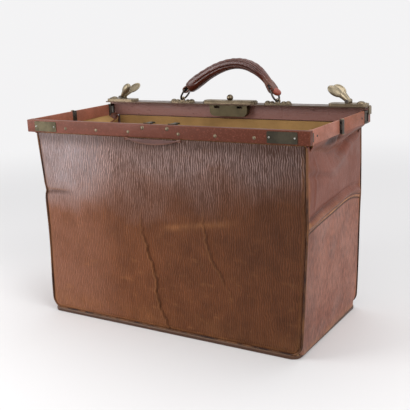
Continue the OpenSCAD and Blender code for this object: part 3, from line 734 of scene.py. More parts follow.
MAKERS = {
    "panel_leather": long_grain_leather,
    "gusset_leather": gusset_leather,
    # The sole's colour holds painted shade along the bag's foot
    "sole_leather": lambda: strap_leather("sole_leather", "sole", 0.5),
    "frame_leather": lambda: strap_leather("strap_leather", "arms"),
    "front_leather": lambda: strap_leather("front_bar_leather", "bars", dark_end="bar_end", gloss=0.2),
    "rear_leather": lambda: strap_leather("rear_bar_leather", "bars", wrinkle=2.2, inner="rear_bar_sheen"),
    "rear_arm_leather": lambda: strap_leather("rear_arm_leather", "rear_arms"),
    "arm_leather": lambda: strap_leather("arm_leather", "arms"),
    "tab_leather": lambda: strap_leather("tab_leather", "tab"),
    "red_leather": lambda: strap_leather("red_leather", "bulb", 0.1, 0.34),
    "handle_leather": lambda: strap_leather("handle_leather", "handle", 0.4, 0.24, gloss=0.5),
    "piping": piping_leather,
    "thread": thread,
    "canvas": canvas_cloth,
    "brass": lambda: worn_metal("worn_brass", "brass", 0.38),
    "light_brass": lambda: worn_metal("light_brass", "light_brass", 0.42, 0.3),
    "dark_brass": lambda: worn_metal("dark_brass", "dark_brass", 0.5, 0.25, 0.7),
    "old_brass": lambda: worn_metal("old_brass", "old_brass", 0.48, 0.3, 0.7),
    "plate_metal": lambda: worn_metal("plate_metal", "plate", 0.36, 0.5),
    "steel": lambda: worn_metal("dark_steel", "steel", 0.42, 0.4),
    "bright_steel": lambda: worn_metal("nail_heads", "nails", 0.3, 0.6),
    "wood": lambda: fibres("beech_core", "wood", 0.6, 0.7, 0.5, (8, 260, 260), 4, 0.6, 0.6),
    "board": lambda: fibres("grey_board", "board", 0.85, 0.75, 0.4, (300, 120, 300), 5, 0.7),
}
_made = {}


def finish_of(name):
    """The finish of that name, made once."""
    if name not in _made:
        _made[name] = MAKERS[name]()
    return _made[name]


# Panels and linings

# Two creases up the front leather: pairs of height and x, how far they stand out in mm, first and last height
LEFT_CREASE = (
    (0.009, 0.008), (0.052, -0.008), (0.094, -0.009), (0.135, -0.021),
    (0.172, -0.031), (0.207, -0.025), (0.292, -0.02),
)
RIGHT_CREASE = ((0.08, 0.125), (0.102, 0.112), (0.139, 0.09), (0.178, 0.082), (0.22, 0.083))
FRONT_CREASES = ((LEFT_CREASE, 1.3, 0.0, 0.2), (RIGHT_CREASE, 1.0, 0.09, 0.215))
# Two soft folds in the rear leather: their x and how they lean
REAR_FOLDS = ((-0.11, 0.1), (0.06, -0.14))
# Heights and x of the marks that age has left in the front leather
PINCH_Z, PINCH_SLOPE = 0.2115, 0.1
PINCH_RUB_Z = 0.2155
SWOLLEN_AT, SWOLLEN_SIZE = (-0.2, 0.25), 0.03
FOLD_AT = (-0.194, 0.18)
BAND_AT, BAND_SLOPE = (0.011, 0.172), 0.16
LOW_RUB_Z = 0.02


def front_marks(x, z, rim, tucked):
    """Relief, wear and painted shade of the front leather: its creases, and the dent and bulge at its upper
    left.
    """
    out, wear, painted_shade = np.zeros_like(x), np.zeros_like(x), np.zeros_like(x)
    for line, tall, start, stop in FRONT_CREASES:
        away = x - between(z, line) + 1.2 * MM * np.sin(z * 210) + 0.8 * MM * np.sin(z * 480)
        shown = fade(z, start - 0.02, start + 0.03) * (1 - fade(z, stop - 0.06, stop + 0.01))
        out += tall * MM * shown * (1.5 * ridge(away, 1.5 * MM) - ridge(away - 4 * MM, 2.8 * MM))
        wear += 0.8 * shown * ridge(away + 0.6 * MM, 1.2 * MM)
        # Painted shade along each crease's right side
        painted_shade += 0.75 * shown * ridge(away - 2.4 * MM, 1.3 * MM)
    out -= 0.5 * MM * ridge(x - between(z, LEFT_CREASE), 4 * MM) * fade(z, 0.17, 0.2) * (1 - tucked)

    slant = PINCH_Z + PINCH_SLOPE * np.clip(x + 0.19, -0.04, 0)
    pinch = ridge(z - slant, 3.2 * MM) * (1 - fade(x, -0.2, -0.14))
    out -= 3.0 * MM * pinch * fade(rim, 0, 0.012)
    # Painted shade in the dent
    painted_shade += 0.5 * pinch
    wear += 0.6 * ridge(z - PINCH_RUB_Z, 1.6 * MM) * (1 - fade(x, -0.2, -0.15))

    swollen = ridge(np.hypot((x - SWOLLEN_AT[0]) / 1.2, z - SWOLLEN_AT[1]), SWOLLEN_SIZE)
    out += 2.2 * MM * swollen * fade(rim, 0, 0.02)
    fold_x, fold_z = FOLD_AT
    out += 1.4 * MM * ridge(x - fold_x + 0.35 * (z - fold_z), 4 * MM) * ridge(z - fold_z, 0.018)

    band_x, band_z = BAND_AT
    band = ridge(z - band_z - BAND_SLOPE * (x - band_x), 5 * MM) * fade(x, 0.0, 0.03)
    wear += 0.5 * band * (1 - fade(x, 0.11, 0.15))
    wear += 0.35 * ridge(z - LOW_RUB_Z, 0.02) * (0.5 + 0.5 * waves(x, z, 3, 0.09))
    return out, wear, painted_shade


def rear_marks(x, z):
    """Relief and wear of the folds in the rear leather."""
    out, wear = np.zeros_like(x), np.zeros_like(x)
    for fold_x, lean in REAR_FOLDS:
        away = x - fold_x - lean * (z - 0.12)
        shown = fade(z, 0.02, 0.06) * (1 - fade(z, 0.15, 0.2))
        out += 0.9 * MM * shown * (ridge(away, 2.1 * MM) - 0.7 * ridge(away - 4.5 * MM, 3.5 * MM))
        wear += 0.45 * shown * ridge(away, 2 * MM)
    return out, wear, 0


def panel_place(face, u, v):
    """Points, wear and painted shade of a panel's outer face, for the shares across and up."""
    low = PIPE_LOW_Z + 0.8 * MM
    z = low + (PANEL_TOP - low) * v
    left, right = (pipe_reach(side, face, z) - 1.9 * MM for side in (-1, 1))
    x = (left + right) * u - left
    edge = np.minimum(right - x, left + x)
    rim = np.minimum(edge, z - low)
    swell = sizes().panel_bulge * (1 - (2 * u - 1) ** 4) * np.sin(math.pi * np.clip(v * 1.04, 0, 1)) ** 0.8
    out = swell - 2.2 * MM * (1 - fade(rim, 0, 9 * MM))
    out += 0.9 * MM * waves(x, z, 5 + face, 0.11) * fade(rim, 0, 0.03)
    out += 0.35 * MM * waves(x, z, 17 + face, 0.035) * fade(rim, 0, 0.02)
    tucked = fade(z, PANEL_TOP - 16 * MM, PANEL_TOP)
    out = out * (1 - tucked) - 0.4 * MM * tucked
    wear = 0.5 * ridge(rim - 3.4 * MM, 1.7 * MM) * (1 - fade(z, 0.285, 0.3))
    wear += 0.45 * (1 - fade(np.hypot(edge, z - low), 0.01, 0.055)) * (0.6 + 0.4 * waves(x, z, 8, 0.03))
    # Painted shade along the edge next to the piping, and a painted shadow under the bar
    painted_shade = 0.8 * ridge(rim - 0.6 * MM, 1.1 * MM) + 0.5 * fade(z, 0.283, 0.302)
    more = front_marks(x, z, rim, tucked) if face == FRONT else rear_marks(x, z)
    return np.column_stack([x, face * (FACE_Y + out + more[0]), z]), wear + more[1], painted_shade + more[2]


class BAG_OT_panels(bpy.types.Operator):
    """Adds the front and rear leather, swollen, creased and worn along its edges"""

    bl_idname = "bag.panels"
    bl_label = "Panels"

    def execute(self, context):
        for half, face in ENDS.items():
            name, place = f"{half}_panel_leather", partial(panel_place, face)
            obj = skin(name, 250, 160, place, (0, face, 0), sizes().panel_leather, 60)
            fit(obj, "panel_leather", "panel_leather", f"{half}_side", f"{half}_panel")
        return {"FINISHED"}


def base_canvas_place(top, u, v):
    """Points of the canvas on the base, with its round corners."""
    r = 4 * MM
    half = np.array((BASE_HALF_X - 4 * MM, FACE_Y - 4.8 * MM))
    spot = np.column_stack([2 * u - 1, 2 * v - 1]) * half
    over = np.abs(spot) - half + r
    corner = np.hypot(*np.clip(over, 0, None).T)[:, None]
    spot = np.where(corner > r, np.sign(spot) * (half - r + over * r / np.maximum(corner, r)), spot)
    return np.column_stack([spot, top + 0.25 * MM * waves(*spot.T, 41, 0.09)]), np.zeros_like(u)


class BAG_OT_linings(bpy.types.Operator):
    """Adds the canvas inside the panels and on the base"""

    bl_idname = "bag.linings"
    bl_label = "Linings"

    def execute(self, context):
        for half, face in ENDS.items():
            low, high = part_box(f"{half}_lining")
            inner, outer = sorted((abs(low.y), abs(high.y)))

            def place(u, v):
                z = low.z + 0.5 * MM + (high.z - low.z - 1 * MM) * v
                left, right = (reach(side, face * FACE_Y, z) - 5 * MM for side in (-1, 1))
                x = (left + right) * u - left
                depth = outer - 0.3 * MM - 0.35 * MM * (1 + waves(x, z, 31 + face, 0.07)) * np.sin(math.pi * v)
                return np.column_stack([x, face * depth, z]), np.zeros_like(u)

            obj = skin(f"{half}_canvas", 90, 60, place, (0, face, 0), outer - inner - 0.4 * MM)
            fit(obj, "canvas", "canvas", f"{half}_side", f"{half}_lining")
        low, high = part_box("base_lining")
        obj = skin("base_canvas", 90, 46, partial(base_canvas_place, high.z), (0, 0, 1), high.z - low.z)
        fit(obj, "canvas", "canvas", "shell", "base_lining")
        return {"FINISHED"}


# Gussets

# How far the seam between the lower and upper gusset rises, from front to rear, both in mm
SEAM_RISE = (
    (-115, -4), (-98, -2.5), (-75, -0.5), (-50, 1.2), (-20, 3.4),
    (10, 5.4), (40, 7), (65, 7.4), (85, 5), (115, -2),
)
# Stitches of the seam: their rows above it, their pitch and how far they run from the middle
SEAM_ROWS = (-0.9 * MM, -5.6 * MM)
SEAM_PITCH, SEAM_RUN = 4.1 * MM, 102 * MM
# The closing bars swing about the base's edges at this distance, and this far across
BAR_SWING = 296.4 * MM
BAR_REACH = 96.85 * MM
# How far the gusset stays below the bars and rolls inwards at its top
EDGE_DROP = 5.1 * MM
POCKET_DEPTH, POCKET_HEIGHT = 6 * MM, 24 * MM


def seam_height(y):
    """Height of the seam between the lower and upper gusset."""
    return SEAM_Z + between(y / MM, SEAM_RISE) * MM


def gusset_edge_top(y):
    """Height of the gusset's sagging top edge, under the closing bars."""
    near = np.minimum(BAR_REACH, np.abs(FACE_Y - np.abs(y) + 9 * MM))
    sag = BAR_SWING - np.sqrt(BAR_SWING**2 - near**2)
    return PANEL_TOP - EDGE_DROP - sag + 4.3 * MM * fade(np.abs(y), 0.096, 0.106)


def pocket(y, below):
    """How far the gusset rolls inwards near its top edge, below that edge by a distance."""
    return POCKET_DEPTH * (1 - fade(below, 0, POCKET_HEIGHT)) * (1 - fade(np.abs(y), 0.07, 0.1))


def end_face(side, y, z, upper):
    """Distance of the gusset's outer face from the middle, with its roll, folds and waves."""
    rise = z - seam_height(y)
    x = reach(side, y, z)
    if not upper:
        x = x + 1.0 * MM * waves(y, z, 70 + side, 0.1) + 1.2 * MM * np.sin(math.pi * np.clip(z / SEAM_Z, 0, 1))
        sewn = ridge(rise + 0.6 * MM, 0.9 * MM) + ridge(rise + 6 * MM, 1 * MM)
        return x + 1.3 * MM * ridge(rise + 3.2 * MM, 1.7 * MM) - 0.8 * MM * sewn
    stuffed = 1.1 - 0.35 * fade(y, 0.0, 0.08) - 0.3 * fade(-y, 0.09, 0.108)
    x = x + stuffed * (5.2 * MM * ridge(rise - 6 * MM, 4.4 * MM) - 1.8 * MM * ridge(rise - 14 * MM, 3 * MM))
    x = x + 3.0 * MM * ridge(rise - 52 * MM, 30 * MM)
    # Slanting folds: one up to the rear arm, one up to the front arm, and an upright one near the front
    to_rear = z - 0.262 - 0.3 * y
    x = x + 2.6 * MM * (ridge(to_rear, 5 * MM) - ridge(to_rear - 10 * MM, 4 * MM)) * fade(y, -0.02, 0.03)
    to_front = z - 0.274 + 0.22 * (y + 0.1)
    x = x + 2.2 * MM * (ridge(to_front, 4.5 * MM) - ridge(to_front + 10 * MM, 4 * MM)) * fade(-y, 0.0, 0.04)
    x = x + 1.6 * MM * ridge(y + 0.088 - 0.06 * (z - 0.2), 5 * MM) * fade(rise, 0.01, 0.03)
    return x + 1.6 * MM * waves(y, z, 60 + side, 0.07) - pocket(y, gusset_edge_top(y) - z)


def gusset_place(side, end, upper, u, v):
    """Points, wear and painted shade of half a gusset. u runs from the middle to the piping, v runs up."""
    y = end * (PIPE_Y - 1.5 * MM) * (1 - (1 - u) ** 1.25)
    seam = seam_height(y)
    low, high = (seam - 2.5 * MM, gusset_edge_top(y)) if upper else (BASE_TOP - 1 * MM, seam)
    z = low + (high - low) * (v**1.7 if upper else 1 - (1 - v) ** 1.9)
    turn = fade(np.abs(y), PIPE_Y - 10 * MM, PIPE_Y - 2 * MM)
    edge = pipe_reach(side, end, np.maximum(z, PIPE_LOW_Z))
    x = end_face(side, y, z, upper) * (1 - turn) + edge * turn
    x = x + 0.8 * MM * ridge(np.abs(y) - PIPE_Y + 5 * MM, 2 * MM)
    rise = z - seam
    near_front = fade(-y, -0.05, 0.05)
    shadow = 1 - fade(y, -0.11, -0.03)
    if upper:
        wear = (0.2 + 0.5 * near_front) * ridge(rise - 2.6 * MM, 2.2 * MM)
        wear += 0.3 * near_front * ridge(rise - 7 * MM, 3 * MM)
        # Painted shade in the seam, in the crease above the roll and under the hinge, and a painted shadow on
        # the front part
        painted_shade = 0.85 * ridge(rise + 0.2 * MM, 0.8 * MM) + 0.6 * near_front * ridge(rise - 12.5 * MM, 1.8 * MM)
        painted_shade += 0.4 * ridge(gusset_edge_top(y) - z - 2 * MM, 5 * MM) * ridge(y + 0.01, 0.03) + 0.12 * shadow
    else:
        x = x - 0.4 * MM
        wear = 0.45 * ridge(z - BASE_TOP, 6 * MM) + 1.0 * ridge(rise + 3.3 * MM, 2.1 * MM)
        # Painted shade in the seam's two stitched grooves, and a painted shadow on the front part
        painted_shade = 0.95 * (ridge(rise + 6.8 * MM, 1.1 * MM) + ridge(rise + 0.3 * MM, 0.8 * MM)) + 0.28 * shadow
    wear += 0.4 * ridge(np.abs(y) - PIPE_Y + 4.4 * MM, 1.6 * MM) * (1 - fade(z, 0.28, 0.3))
    # Painted shade next to the piping
    painted_shade += 0.6 * ridge(np.abs(y) - PIPE_Y + 1.4 * MM, 1 * MM)
    return np.column_stack([side * x, y, z]), wear, painted_shade


def end_canvas_place(side, end, u, v):
    """Points of half the lining behind the gussets."""
    y = end * (PIPE_Y - 7 * MM) * u
    low = BASE_TOP + 1.5 * MM
    z = low + (gusset_edge_top(y) - 1.2 * MM - low) * v
    above = fade(z, SEAM_Z - 8 * MM, SEAM_Z + 30 * MM)
    x = end_face(side, y, z, False) * (1 - above) + end_face(side, y, z, True) * above
    turn = fade(np.abs(y), PIPE_Y - 12 * MM, PIPE_Y - 3 * MM)
    x = x * (1 - turn) + pipe_reach(side, end, np.maximum(z, PIPE_LOW_Z)) * turn - 2.9 * MM
    return np.column_stack([side * x, y, z]), np.zeros_like(u)


def blend_half(obj):
    """Puts the place of half a gusset into its mesh."""
    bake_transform(obj)


class BAG_OT_gussets(bpy.types.Operator):
    """Adds the leather of the four gussets and the lining behind them"""

    bl_idname = "bag.gussets"
    bl_label = "Gussets"

    def execute(self, context):
        for where, side, half, end in QUARTERS:
            out = (side, 0, 0)
            for upper, level, rows in ((False, "lower", 110), (True, "upper", 80)):
                name, place = f"{where}_{level}_gusset", partial(gusset_place, side, end, upper)
                obj = skin(f"{name}_{half}", 64, rows, place, out, sizes().gusset_leather, 50)
                dress(obj, finish_of("gusset_leather"))
                blend_half(obj)
                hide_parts(name)
            place = partial(end_canvas_place, side, end)
            obj = skin(f"{where}_end_canvas_{half}", 30, 60, place, out, sizes().lining)
            dress(obj, finish_of("canvas"))
            blend_half(obj)
            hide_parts(f"{where}_end_lining")
        return {"FINISHED"}


class BAG_OT_seams(bpy.types.Operator):
    """Adds the double row of stitches along each gusset seam"""

    bl_idname = "bag.seams"
    bl_label = "Seam stitches"

    def execute(self, context):
        for where, side, half, end in QUARTERS:
            places = []
            for row in SEAM_ROWS:
                for i in range(int(SEAM_RUN / SEAM_PITCH)):
                    y = end * (i + 0.5) * SEAM_PITCH
                    at, ahead = (float(seam_height(np.array(each))) + row for each in (y, y + 1 * MM))
                    x = float(end_face(side, np.array(y), np.array(at), False)) - 0.3 * MM
                    places.append(((side * x, y, at), (0, 1 * MM, ahead - at), (side, 0, 0)))
            obj = stitches(f"{where}_seam_stitches_{half}", places, sizes().stitch, 0.45 * MM)
            dress(obj, finish_of("thread"))
            blend_half(obj)
        return {"FINISHED"}


# Piping and base


def pipe_line(face):
    """Line of the piping round a panel, from its top right corner down, along the base and up."""
    heights = np.linspace(PANEL_TOP - 2.2 * MM, PIPE_LOW_Z + PIPE_CORNER, 46)
    turns = PIPE_LOW_Z + PIPE_CORNER * (1 - np.sin(np.linspace(0, math.pi / 2, 9)[1:]))
    z = np.concatenate([heights, turns])
    left, right = ([(side * float(x), h) for x, h in zip(pipe_reach(side, face, z), z)] for side in (-1, 1))
    bottom = [(x, PIPE_LOW_Z) for x in np.linspace(right[-1][0], left[-1][0], 40)[1:-1]]
    line = right + bottom + left[::-1]
    return [(x, face * (PIPE_Y - 0.1 * MM + 0.35 * MM * math.sin(x * 60 + z * 50)), z) for x, z in line]


class BAG_OT_piping(bpy.types.Operator):
    """Adds the piping round both panels and round the base"""

    bl_idname = "bag.piping"
    bl_label = "Piping"

    def execute(self, context):
        for half, face in ENDS.items():
            obj = tube(f"{half}_piping_cord", pipe_line(face), sizes().piping_radius, sides=3)
            fit(obj, "piping", "piping", f"{half}_side", f"{half}_piping")
        r, z = SOLE_CORNER, 3 * MM
        points = []
        for sx, sy, start in ((1, 1, 0), (-1, 1, 90), (-1, -1, 180), (1, -1, 270)):
            x, y = sx * (BASE_HALF_X - r), sy * (BASE_HALF_Y - r)
            angles = np.radians(start + np.linspace(0, 90, 8))
            points += [(x + r * math.cos(a), y + r * math.sin(a), z) for a in angles]
        obj = tube("base_piping_cord", points, 0.8 * MM, closed=True)
        fit(obj, "piping", "piping", "shell", "base_piping")
        return {"FINISHED"}


class BAG_OT_base(bpy.types.Operator):
    """Adds the leather under the base, turned up round the board's edge"""

    bl_idname = "bag.base"
    bl_label = "Base"

    def execute(self, context):
        low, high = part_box("base_leather")
        wrap = Vector((1, 0.8, 0)) * MM
        high = Vector((high.x, high.y, BASE_TOP + 0.15 * MM))
        obj = block("base_leather_sole", low - wrap, high + wrap)
        with editing(obj, "DESELECT"):
            bpy.ops.mesh.select_mode(type="EDGE")
        for edge in obj.data.edges:
            a, b = (obj.data.vertices[i].co for i in edge.vertices)
            edge.select = abs(a.x - b.x) + abs(a.y - b.y) < 1e-6
        with editing(obj, None):
            bpy.ops.mesh.bevel(offset=SOLE_CORNER, segments=8, affect="EDGES")
        smooth(bevel(obj, 1.8 * MM))
        fit(obj, "sole_leather", "panel_leather", "shell", "base_leather")
        return {"FINISHED"}


# Bars, arms and flaps


class BAG_OT_bars(bpy.types.Operator):
    """Adds the leather sewn round both bars"""

    bl_idname = "bag.bars"
    bl_label = "Bar leather"

    def execute(self, context):
        for half in ENDS:
            obj = box(f"{half}_bar_leather", *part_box(f"{half}_bar_cover"), 1.3 * MM, 4)
            fit(obj, f"{half}_leather", "frame_leather", f"{half}_frame", f"{half}_bar_cover")
        return {"FINISHED"}


def flap_place(side, end, far, outer, depth, u, v):
    """Points, wear and painted shade of the flap under half an arm, or of its lining behind it by a depth."""
    u = u if depth == 0 else 0.008 + 0.922 * u
    first = ARM_PIN_Y + end * 0.15 * MM
    y = first + (far + end * 5 * MM - first) * u
    edge = gusset_edge_top(y)
    foot = edge - 9 * MM + 2 * depth
    z = foot + (BAR_Z + 1.5 * MM - foot) * v
    inner = end_face(side, y, np.minimum(z, edge), True) - 0.5 * MM * (1 - v)
    fold = ridge(z - BAR_Z + 6.5 * MM, 5.5 * MM) * ridge(y + 24 * MM, 25 * MM)
    puff = ridge(z - BAR_Z + 17 * MM, 9 * MM) * ridge(y + 30 * MM, 40 * MM)
    share = fade(v, 0.12, 0.98)
    loose = np.clip(v * (1 - v) * 4, 0, 1) * share
    x = inner * (1 - share) + outer * share - 5.5 * MM * fold
    x = x + (3.5 * MM * puff + 3 * MM + 2.4 * MM * waves(y, z, 90 + side, 0.06)) * loose
    x = x - 4 * MM * ridge(y - ARM_PIN_Y, 4.5 * MM) * v**2
    # Painted shade in the fold under the arm and below the puff; on the rear flap also along its fold line
    painted_shade = 1.5 * fold + 0.3 * puff * (1 - v)
    if end == REAR:
        x = x - 1.3 * MM * (1 - fade(u, 0, 0.15)) * share
        painted_shade = painted_shade + 0.45 * ridge(z - BAR_Z + 7 * MM - 0.04 * y, 1.6 * MM)
    return np.column_stack([side * (x - depth), y, z]), 0.15 * (1 - v), painted_shade


class BAG_OT_arms(bpy.types.Operator):
    """Adds the leather round the folding arms and the flaps that hang from them"""

    bl_idname = "bag.arms"
    bl_label = "Arm leather"

    def execute(self, context):
        for where, side, half, end in QUARTERS:
            arm = f"{where}_{half}_arm"
            low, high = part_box(f"{arm}_cover")
            obj = box(f"{arm}_leather", low, high, 0.9 * MM)
            finish = "rear_arm_leather" if end == REAR and side > 0 else "arm_leather"
            fit(obj, finish, "frame_leather", arm, f"{arm}_cover")

            # Hinge leaf on the arm's inner face
            near, far = (low.y, high.y) if end == REAR else (high.y, low.y)
            y0, y1 = sorted((ARM_PIN_Y + end * 0.4 * MM, near))
            x0, x1 = sorted(side * (ARM_LOW.x + each * MM) for each in (0.3, 1.9))
            leaf = ((x0, y0, low.z + 2 * MM), (x1, y1, high.z - 2 * MM))
            fit(box(f"{where}_{half}_hinge_leaf", *leaf, 0.3 * MM, 2), "steel", "steel", arm)

            outer = max(abs(low.x), abs(high.x)) - 0.6 * MM
            for layer, depth, thickness, finish in (
                ("flap", 0.0, THIN_LEATHER, "gusset_leather"),
                ("flap_lining", 1.5 * MM, THIN_CANVAS, "canvas"),
            ):
                place = partial(flap_place, side, end, far, outer, depth)
                obj = skin(f"{where}_{half}_{layer}", 48, 20, place, (side, 0, 0), thickness, 50)
                fit(obj, finish, finish, arm)
                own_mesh(obj)
        return {"FINISHED"}


def gore_place(side, end, u, v):
    """Points, wear and painted shade of the gore that closes a top corner, from the arm to the piping."""
    start = -ARM_LOW.y - 1 * MM
    away = start + (PIPE_Y + 0.4 * MM - start) * u
    y = end * away
    foot = gusset_edge_top(y) - 7 * MM
    raised = fade(away, 96.6 * MM, 98 * MM) * (1 - fade(away, 108.9 * MM, 109.4 * MM))
    top = PANEL_TOP + (0.2 if end == REAR else -0.3) * MM + 3.5 * MM * raised
    z = foot + (top - foot) * v
    turn = fade(away, 98 * MM, PIPE_Y + 4 * MM)
    near = end_face(side, y, foot, True) - 0.6 * MM
    arm = near + (ARM_HIGH.x - 3.4 * MM - 2.4 * MM * fade(away, 94 * MM, 97 * MM) - near) * v**0.9
    x = arm * (1 - turn) + (pipe_reach(side, end, z) - 0.6 * MM) * turn
    x = x + 0.9 * MM * np.sin(u * 9) * np.sin(math.pi * v)
    # The whole gore is painted in shade, darker at its middle
    return np.column_stack([side * x, y, z]), 0.2 * v, 0.35 + 0.2 * ridge(u - 0.5, 0.15)


class BAG_OT_corners(bpy.types.Operator):
    """Adds the leather gores that close the gussets' top corners"""

    bl_idname = "bag.corners"
    bl_label = "Corner gores"

    def execute(self, context):
        for where, side, half, end in QUARTERS:
            place = partial(gore_place, side, end)
            obj = skin(f"{where}_{half}_corner_gore", 24, 14, place, (side, 0, 0), THIN_LEATHER, 50)
            fit(obj, "gusset_leather", "gusset_leather", f"{half}_side")
        return {"FINISHED"}


NAIL_INSET = 3.5 * MM
NAIL_HALF = (1.5 * MM, 0.9 * MM, 1.5 * MM)


class BAG_OT_nails(bpy.types.Operator):
    """Adds the domed nails of the wear plates"""

    bl_idname = "bag.nails"
    bl_label = "Nails"

    def execute(self, context):
        for where in SIDES:
            low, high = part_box(f"{where}_wear_plate")
            places = [(x, low.y, (low.z + high.z) / 2) for x in (low.x + NAIL_INSET, high.x - NAIL_INSET)]
            heads = [egg("nail", at, NAIL_HALF, 16, 10, angle=40) for at in places]
            fit(joined(f"{where}_wear_plate_nails", heads), "bright_steel", "steel", "front_frame")
        return {"FINISHED"}


class BAG_OT_tab(bpy.types.Operator):
    """Adds the half-moon leather tab under the front bar"""

    bl_idname = "bag.tab"
    bl_label = "Pull tab"

    def execute(self, context):
        low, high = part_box("pull_tab")
        pad = 0.6 * MM

        def place(u, v):
            share = 2 * u - 1
            depth = (high.z - low.z) * (1 - share**2) + 0.05 * MM
            lip = np.sin(math.pi * np.clip(v, 0, 1)) ** 0.6
            y = low.y + pad + 0.8 * MM * (1 - lip) * fade(np.abs(share), 0.2, 1.0)
            return np.column_stack([share * high.x, y, high.z - depth * (1 - v)]), 0.5 * (1 - fade(v, 0.0, 0.4))

        obj = facing(sheet("pull_tab_leather", 60, 10, place), (0, -1, 0))
        smooth(bevel(thicken(obj, high.y - low.y - pad), 0.8 * MM, 2, 60), 60)
        fit(obj, "tab_leather", "frame_leather", "front_side", "pull_tab")
        return {"FINISHED"}


# Handle

WIRE = 1.6 * MM
RING_ENDS = {
    "left": (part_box("left_ring")[1].x - WIRE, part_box("left_ring")[1].z - WIRE),
    "right": (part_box("right_ring")[0].x + WIRE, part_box("right_ring")[1].z - WIRE),
}
LOOP_HALF = (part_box("left_ring")[1].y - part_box("left_ring")[0].y) / 2 - 2 * WIRE - 0.5 * MM
LOOP_RADIUS = 4.7 * MM
LOOP_LEATHER = 2.6 * MM
# Where the loops start along the handle's line, and which way they go round their ring
LOOPS = {"left": (0.07, 1), "right": (0.92, -1)}
# Rows of stitches along the grip: how far across, how many, and their run along the handle's line
STITCH_ROWS = (-0.82, 0.82)
STITCH_COUNT, STITCH_START, STITCH_RUN = 46, 0.14, 0.6
BULB_HALF = (9.9 * MM, LOOP_HALF, 5.1 * MM)
BULB_OUT = 5.2 * MM
BULB_TURN = math.radians(33)
# How far the pulls of the handle's curve stand from its two ends, along X and up
LEFT_PULL, RIGHT_PULL = (68 * MM, 50 * MM), (-39 * MM, 66 * MM)
# Thickness of the grip along its line, as a share of the whole thickness
GRIP_FULLNESS = (
    (0.03, 1.12), (0.07, 1.26), (0.13, 1.24), (0.2, 1.14), (0.6, 1), (0.74, 0.96), (0.83, 0.8), (0.96, 0.6),
)


def grip_point(t):
    """Point on the handle's centre line, from 0 at the left end to 1 at the right end."""
    a, d = np.array(RING_ENDS["left"]), np.array(RING_ENDS["right"])
    b, c = a + LEFT_PULL, d + RIGHT_PULL
    t = np.asarray(t)[..., None]
    return (1 - t) ** 3 * a + 3 * t * (1 - t) ** 2 * b + 3 * t * t * (1 - t) * c + t**3 * d


def grip_frame(t):
    """Centre and upward normal of the handle's line."""
    step = grip_point(np.minimum(t + 0.004, 1)) - grip_point(np.maximum(t - 0.004, 0))
    step /= np.linalg.norm(step, axis=-1)[..., None]
    return grip_point(t), np.stack([-step[..., 1], step[..., 0]], -1)


def grip_place(u, v):
    """Points, wear and painted shade of the stuffed grip, with channels above and below and grooves at its
    sides.
    """
    width, tall = sizes().grip_width / 2, sizes().grip_thickness / 2
    t = 0.03 + 0.925 * v
    full = fade(t, 0.04, 0.15) * (1 - fade(t, 0.7, 0.9))
    half_w = LOOP_HALF + (width - LOOP_HALF) * fade(t, 0.0, 0.06) * (1 - fade(t, 0.78, 0.9))
    half_t = tall * between(t, GRIP_FULLNESS)
    c, s = np.cos(2 * math.pi * u), np.sin(2 * math.pi * u)
    across = np.sign(c) * np.abs(c) ** 0.75 * half_w
    up = np.sign(s) * np.abs(s) ** 0.8 * half_t * np.where(s < 0, 1.08, 0.94)
    share = across / half_w
    channel = sum(ridge(share - m, 0.06) for m in (-0.6, -0.2, 0.2, 0.6)) * fade(np.abs(s), 0.1, 0.5)
    up = up - np.sign(s) * 2.3 * MM * channel * fade(t, 0.1, 0.16) * (1 - fade(t, 0.8, 0.86))
    groove = (ridge(s - 0.45, 0.09) + ridge(s + 0.2, 0.09)) * fade(np.abs(c), 0.5, 0.75)
    groove = groove * fade(t, 0.08, 0.14) * (1 - fade(t, 0.8, 0.88))
    across = across - np.sign(c) * 1.3 * MM * groove
    across = across * (1 + 0.03 * ridge(np.abs(share) - 0.93, 0.05) * full)
    up = up + 0.25 * MM * np.sin(v * 90 + share * 2) * full * (s > 0)
    centre, normal = grip_frame(t)
    x, z = (centre + normal * up[:, None]).T
    wear = 0.5 * fade(t, 0.86, 0.97) + 0.2 * fade(1 - t, 0.93, 0.99)
    # Painted shade in the channels and the side grooves
    painted_shade = 0.85 * channel * fade(t, 0.08, 0.14) * (1 - fade(t, 0.82, 0.88)) + 0.85 * groove
    return np.column_stack([x, HANDLE_Y + across, z]), wear, painted_shade


def closed_grip():
    """The grip with its two ends closed."""
    grip = outwards(sheet("grip", 128, 120, grip_place))
    with editing(grip, "DESELECT"):
        bpy.ops.mesh.select_mode(type="VERT")
        bpy.ops.mesh.select_non_manifold()
        bpy.ops.mesh.fill_holes(sides=0)
        bpy.ops.mesh.select_all(action="SELECT")
        bpy.ops.mesh.normals_make_consistent(inside=False)
    return smooth(grip, 60)


def ring_loop(where, start, turn):
    """The strap that goes from the grip round a ring and back. turn is 1 where it goes round to the left."""
    hub = np.array(RING_ENDS[where])
    centre, normal = grip_frame(start - turn * np.linspace(0, 0.04, 6))
    away = normal[-1] * (LOOP_RADIUS - 0.3 * MM)
    first, last = (math.atan2(*(centre[-1] + s * away - hub)[::-1]) for s in (1, -1))
    sweep = np.linspace(first, first + turn * ((turn * (last - first)) % (2 * math.pi)), 22)
    ring = [hub + LOOP_RADIUS * np.array([math.cos(a), math.sin(a)]) for a in sweep]
    out = np.linspace(1.8 * MM, LOOP_RADIUS - 0.5 * MM, 6)[:, None]
    path = np.array([*(centre + normal * out), *ring[1:-1], *(centre - normal * out)[::-1]])
    for _ in range(6):
        path[1:-1] = (path[:-2] + path[1:-1] + path[2:]) / 3

    def place(u, v):
        at = v * (len(path) - 1)
        x, z = (np.interp(at, range(len(path)), line) for line in path.T)
        return np.column_stack([x, HANDLE_Y + (2 * u - 1) * LOOP_HALF, z]), 0.3 + 0 * u

    loop = thicken(sheet(f"{where}_loop", 10, 90, place), LOOP_LEATHER, 0)
    return smooth(outwards(bevel(loop, 0.6 * MM, 2, 50)), 50)


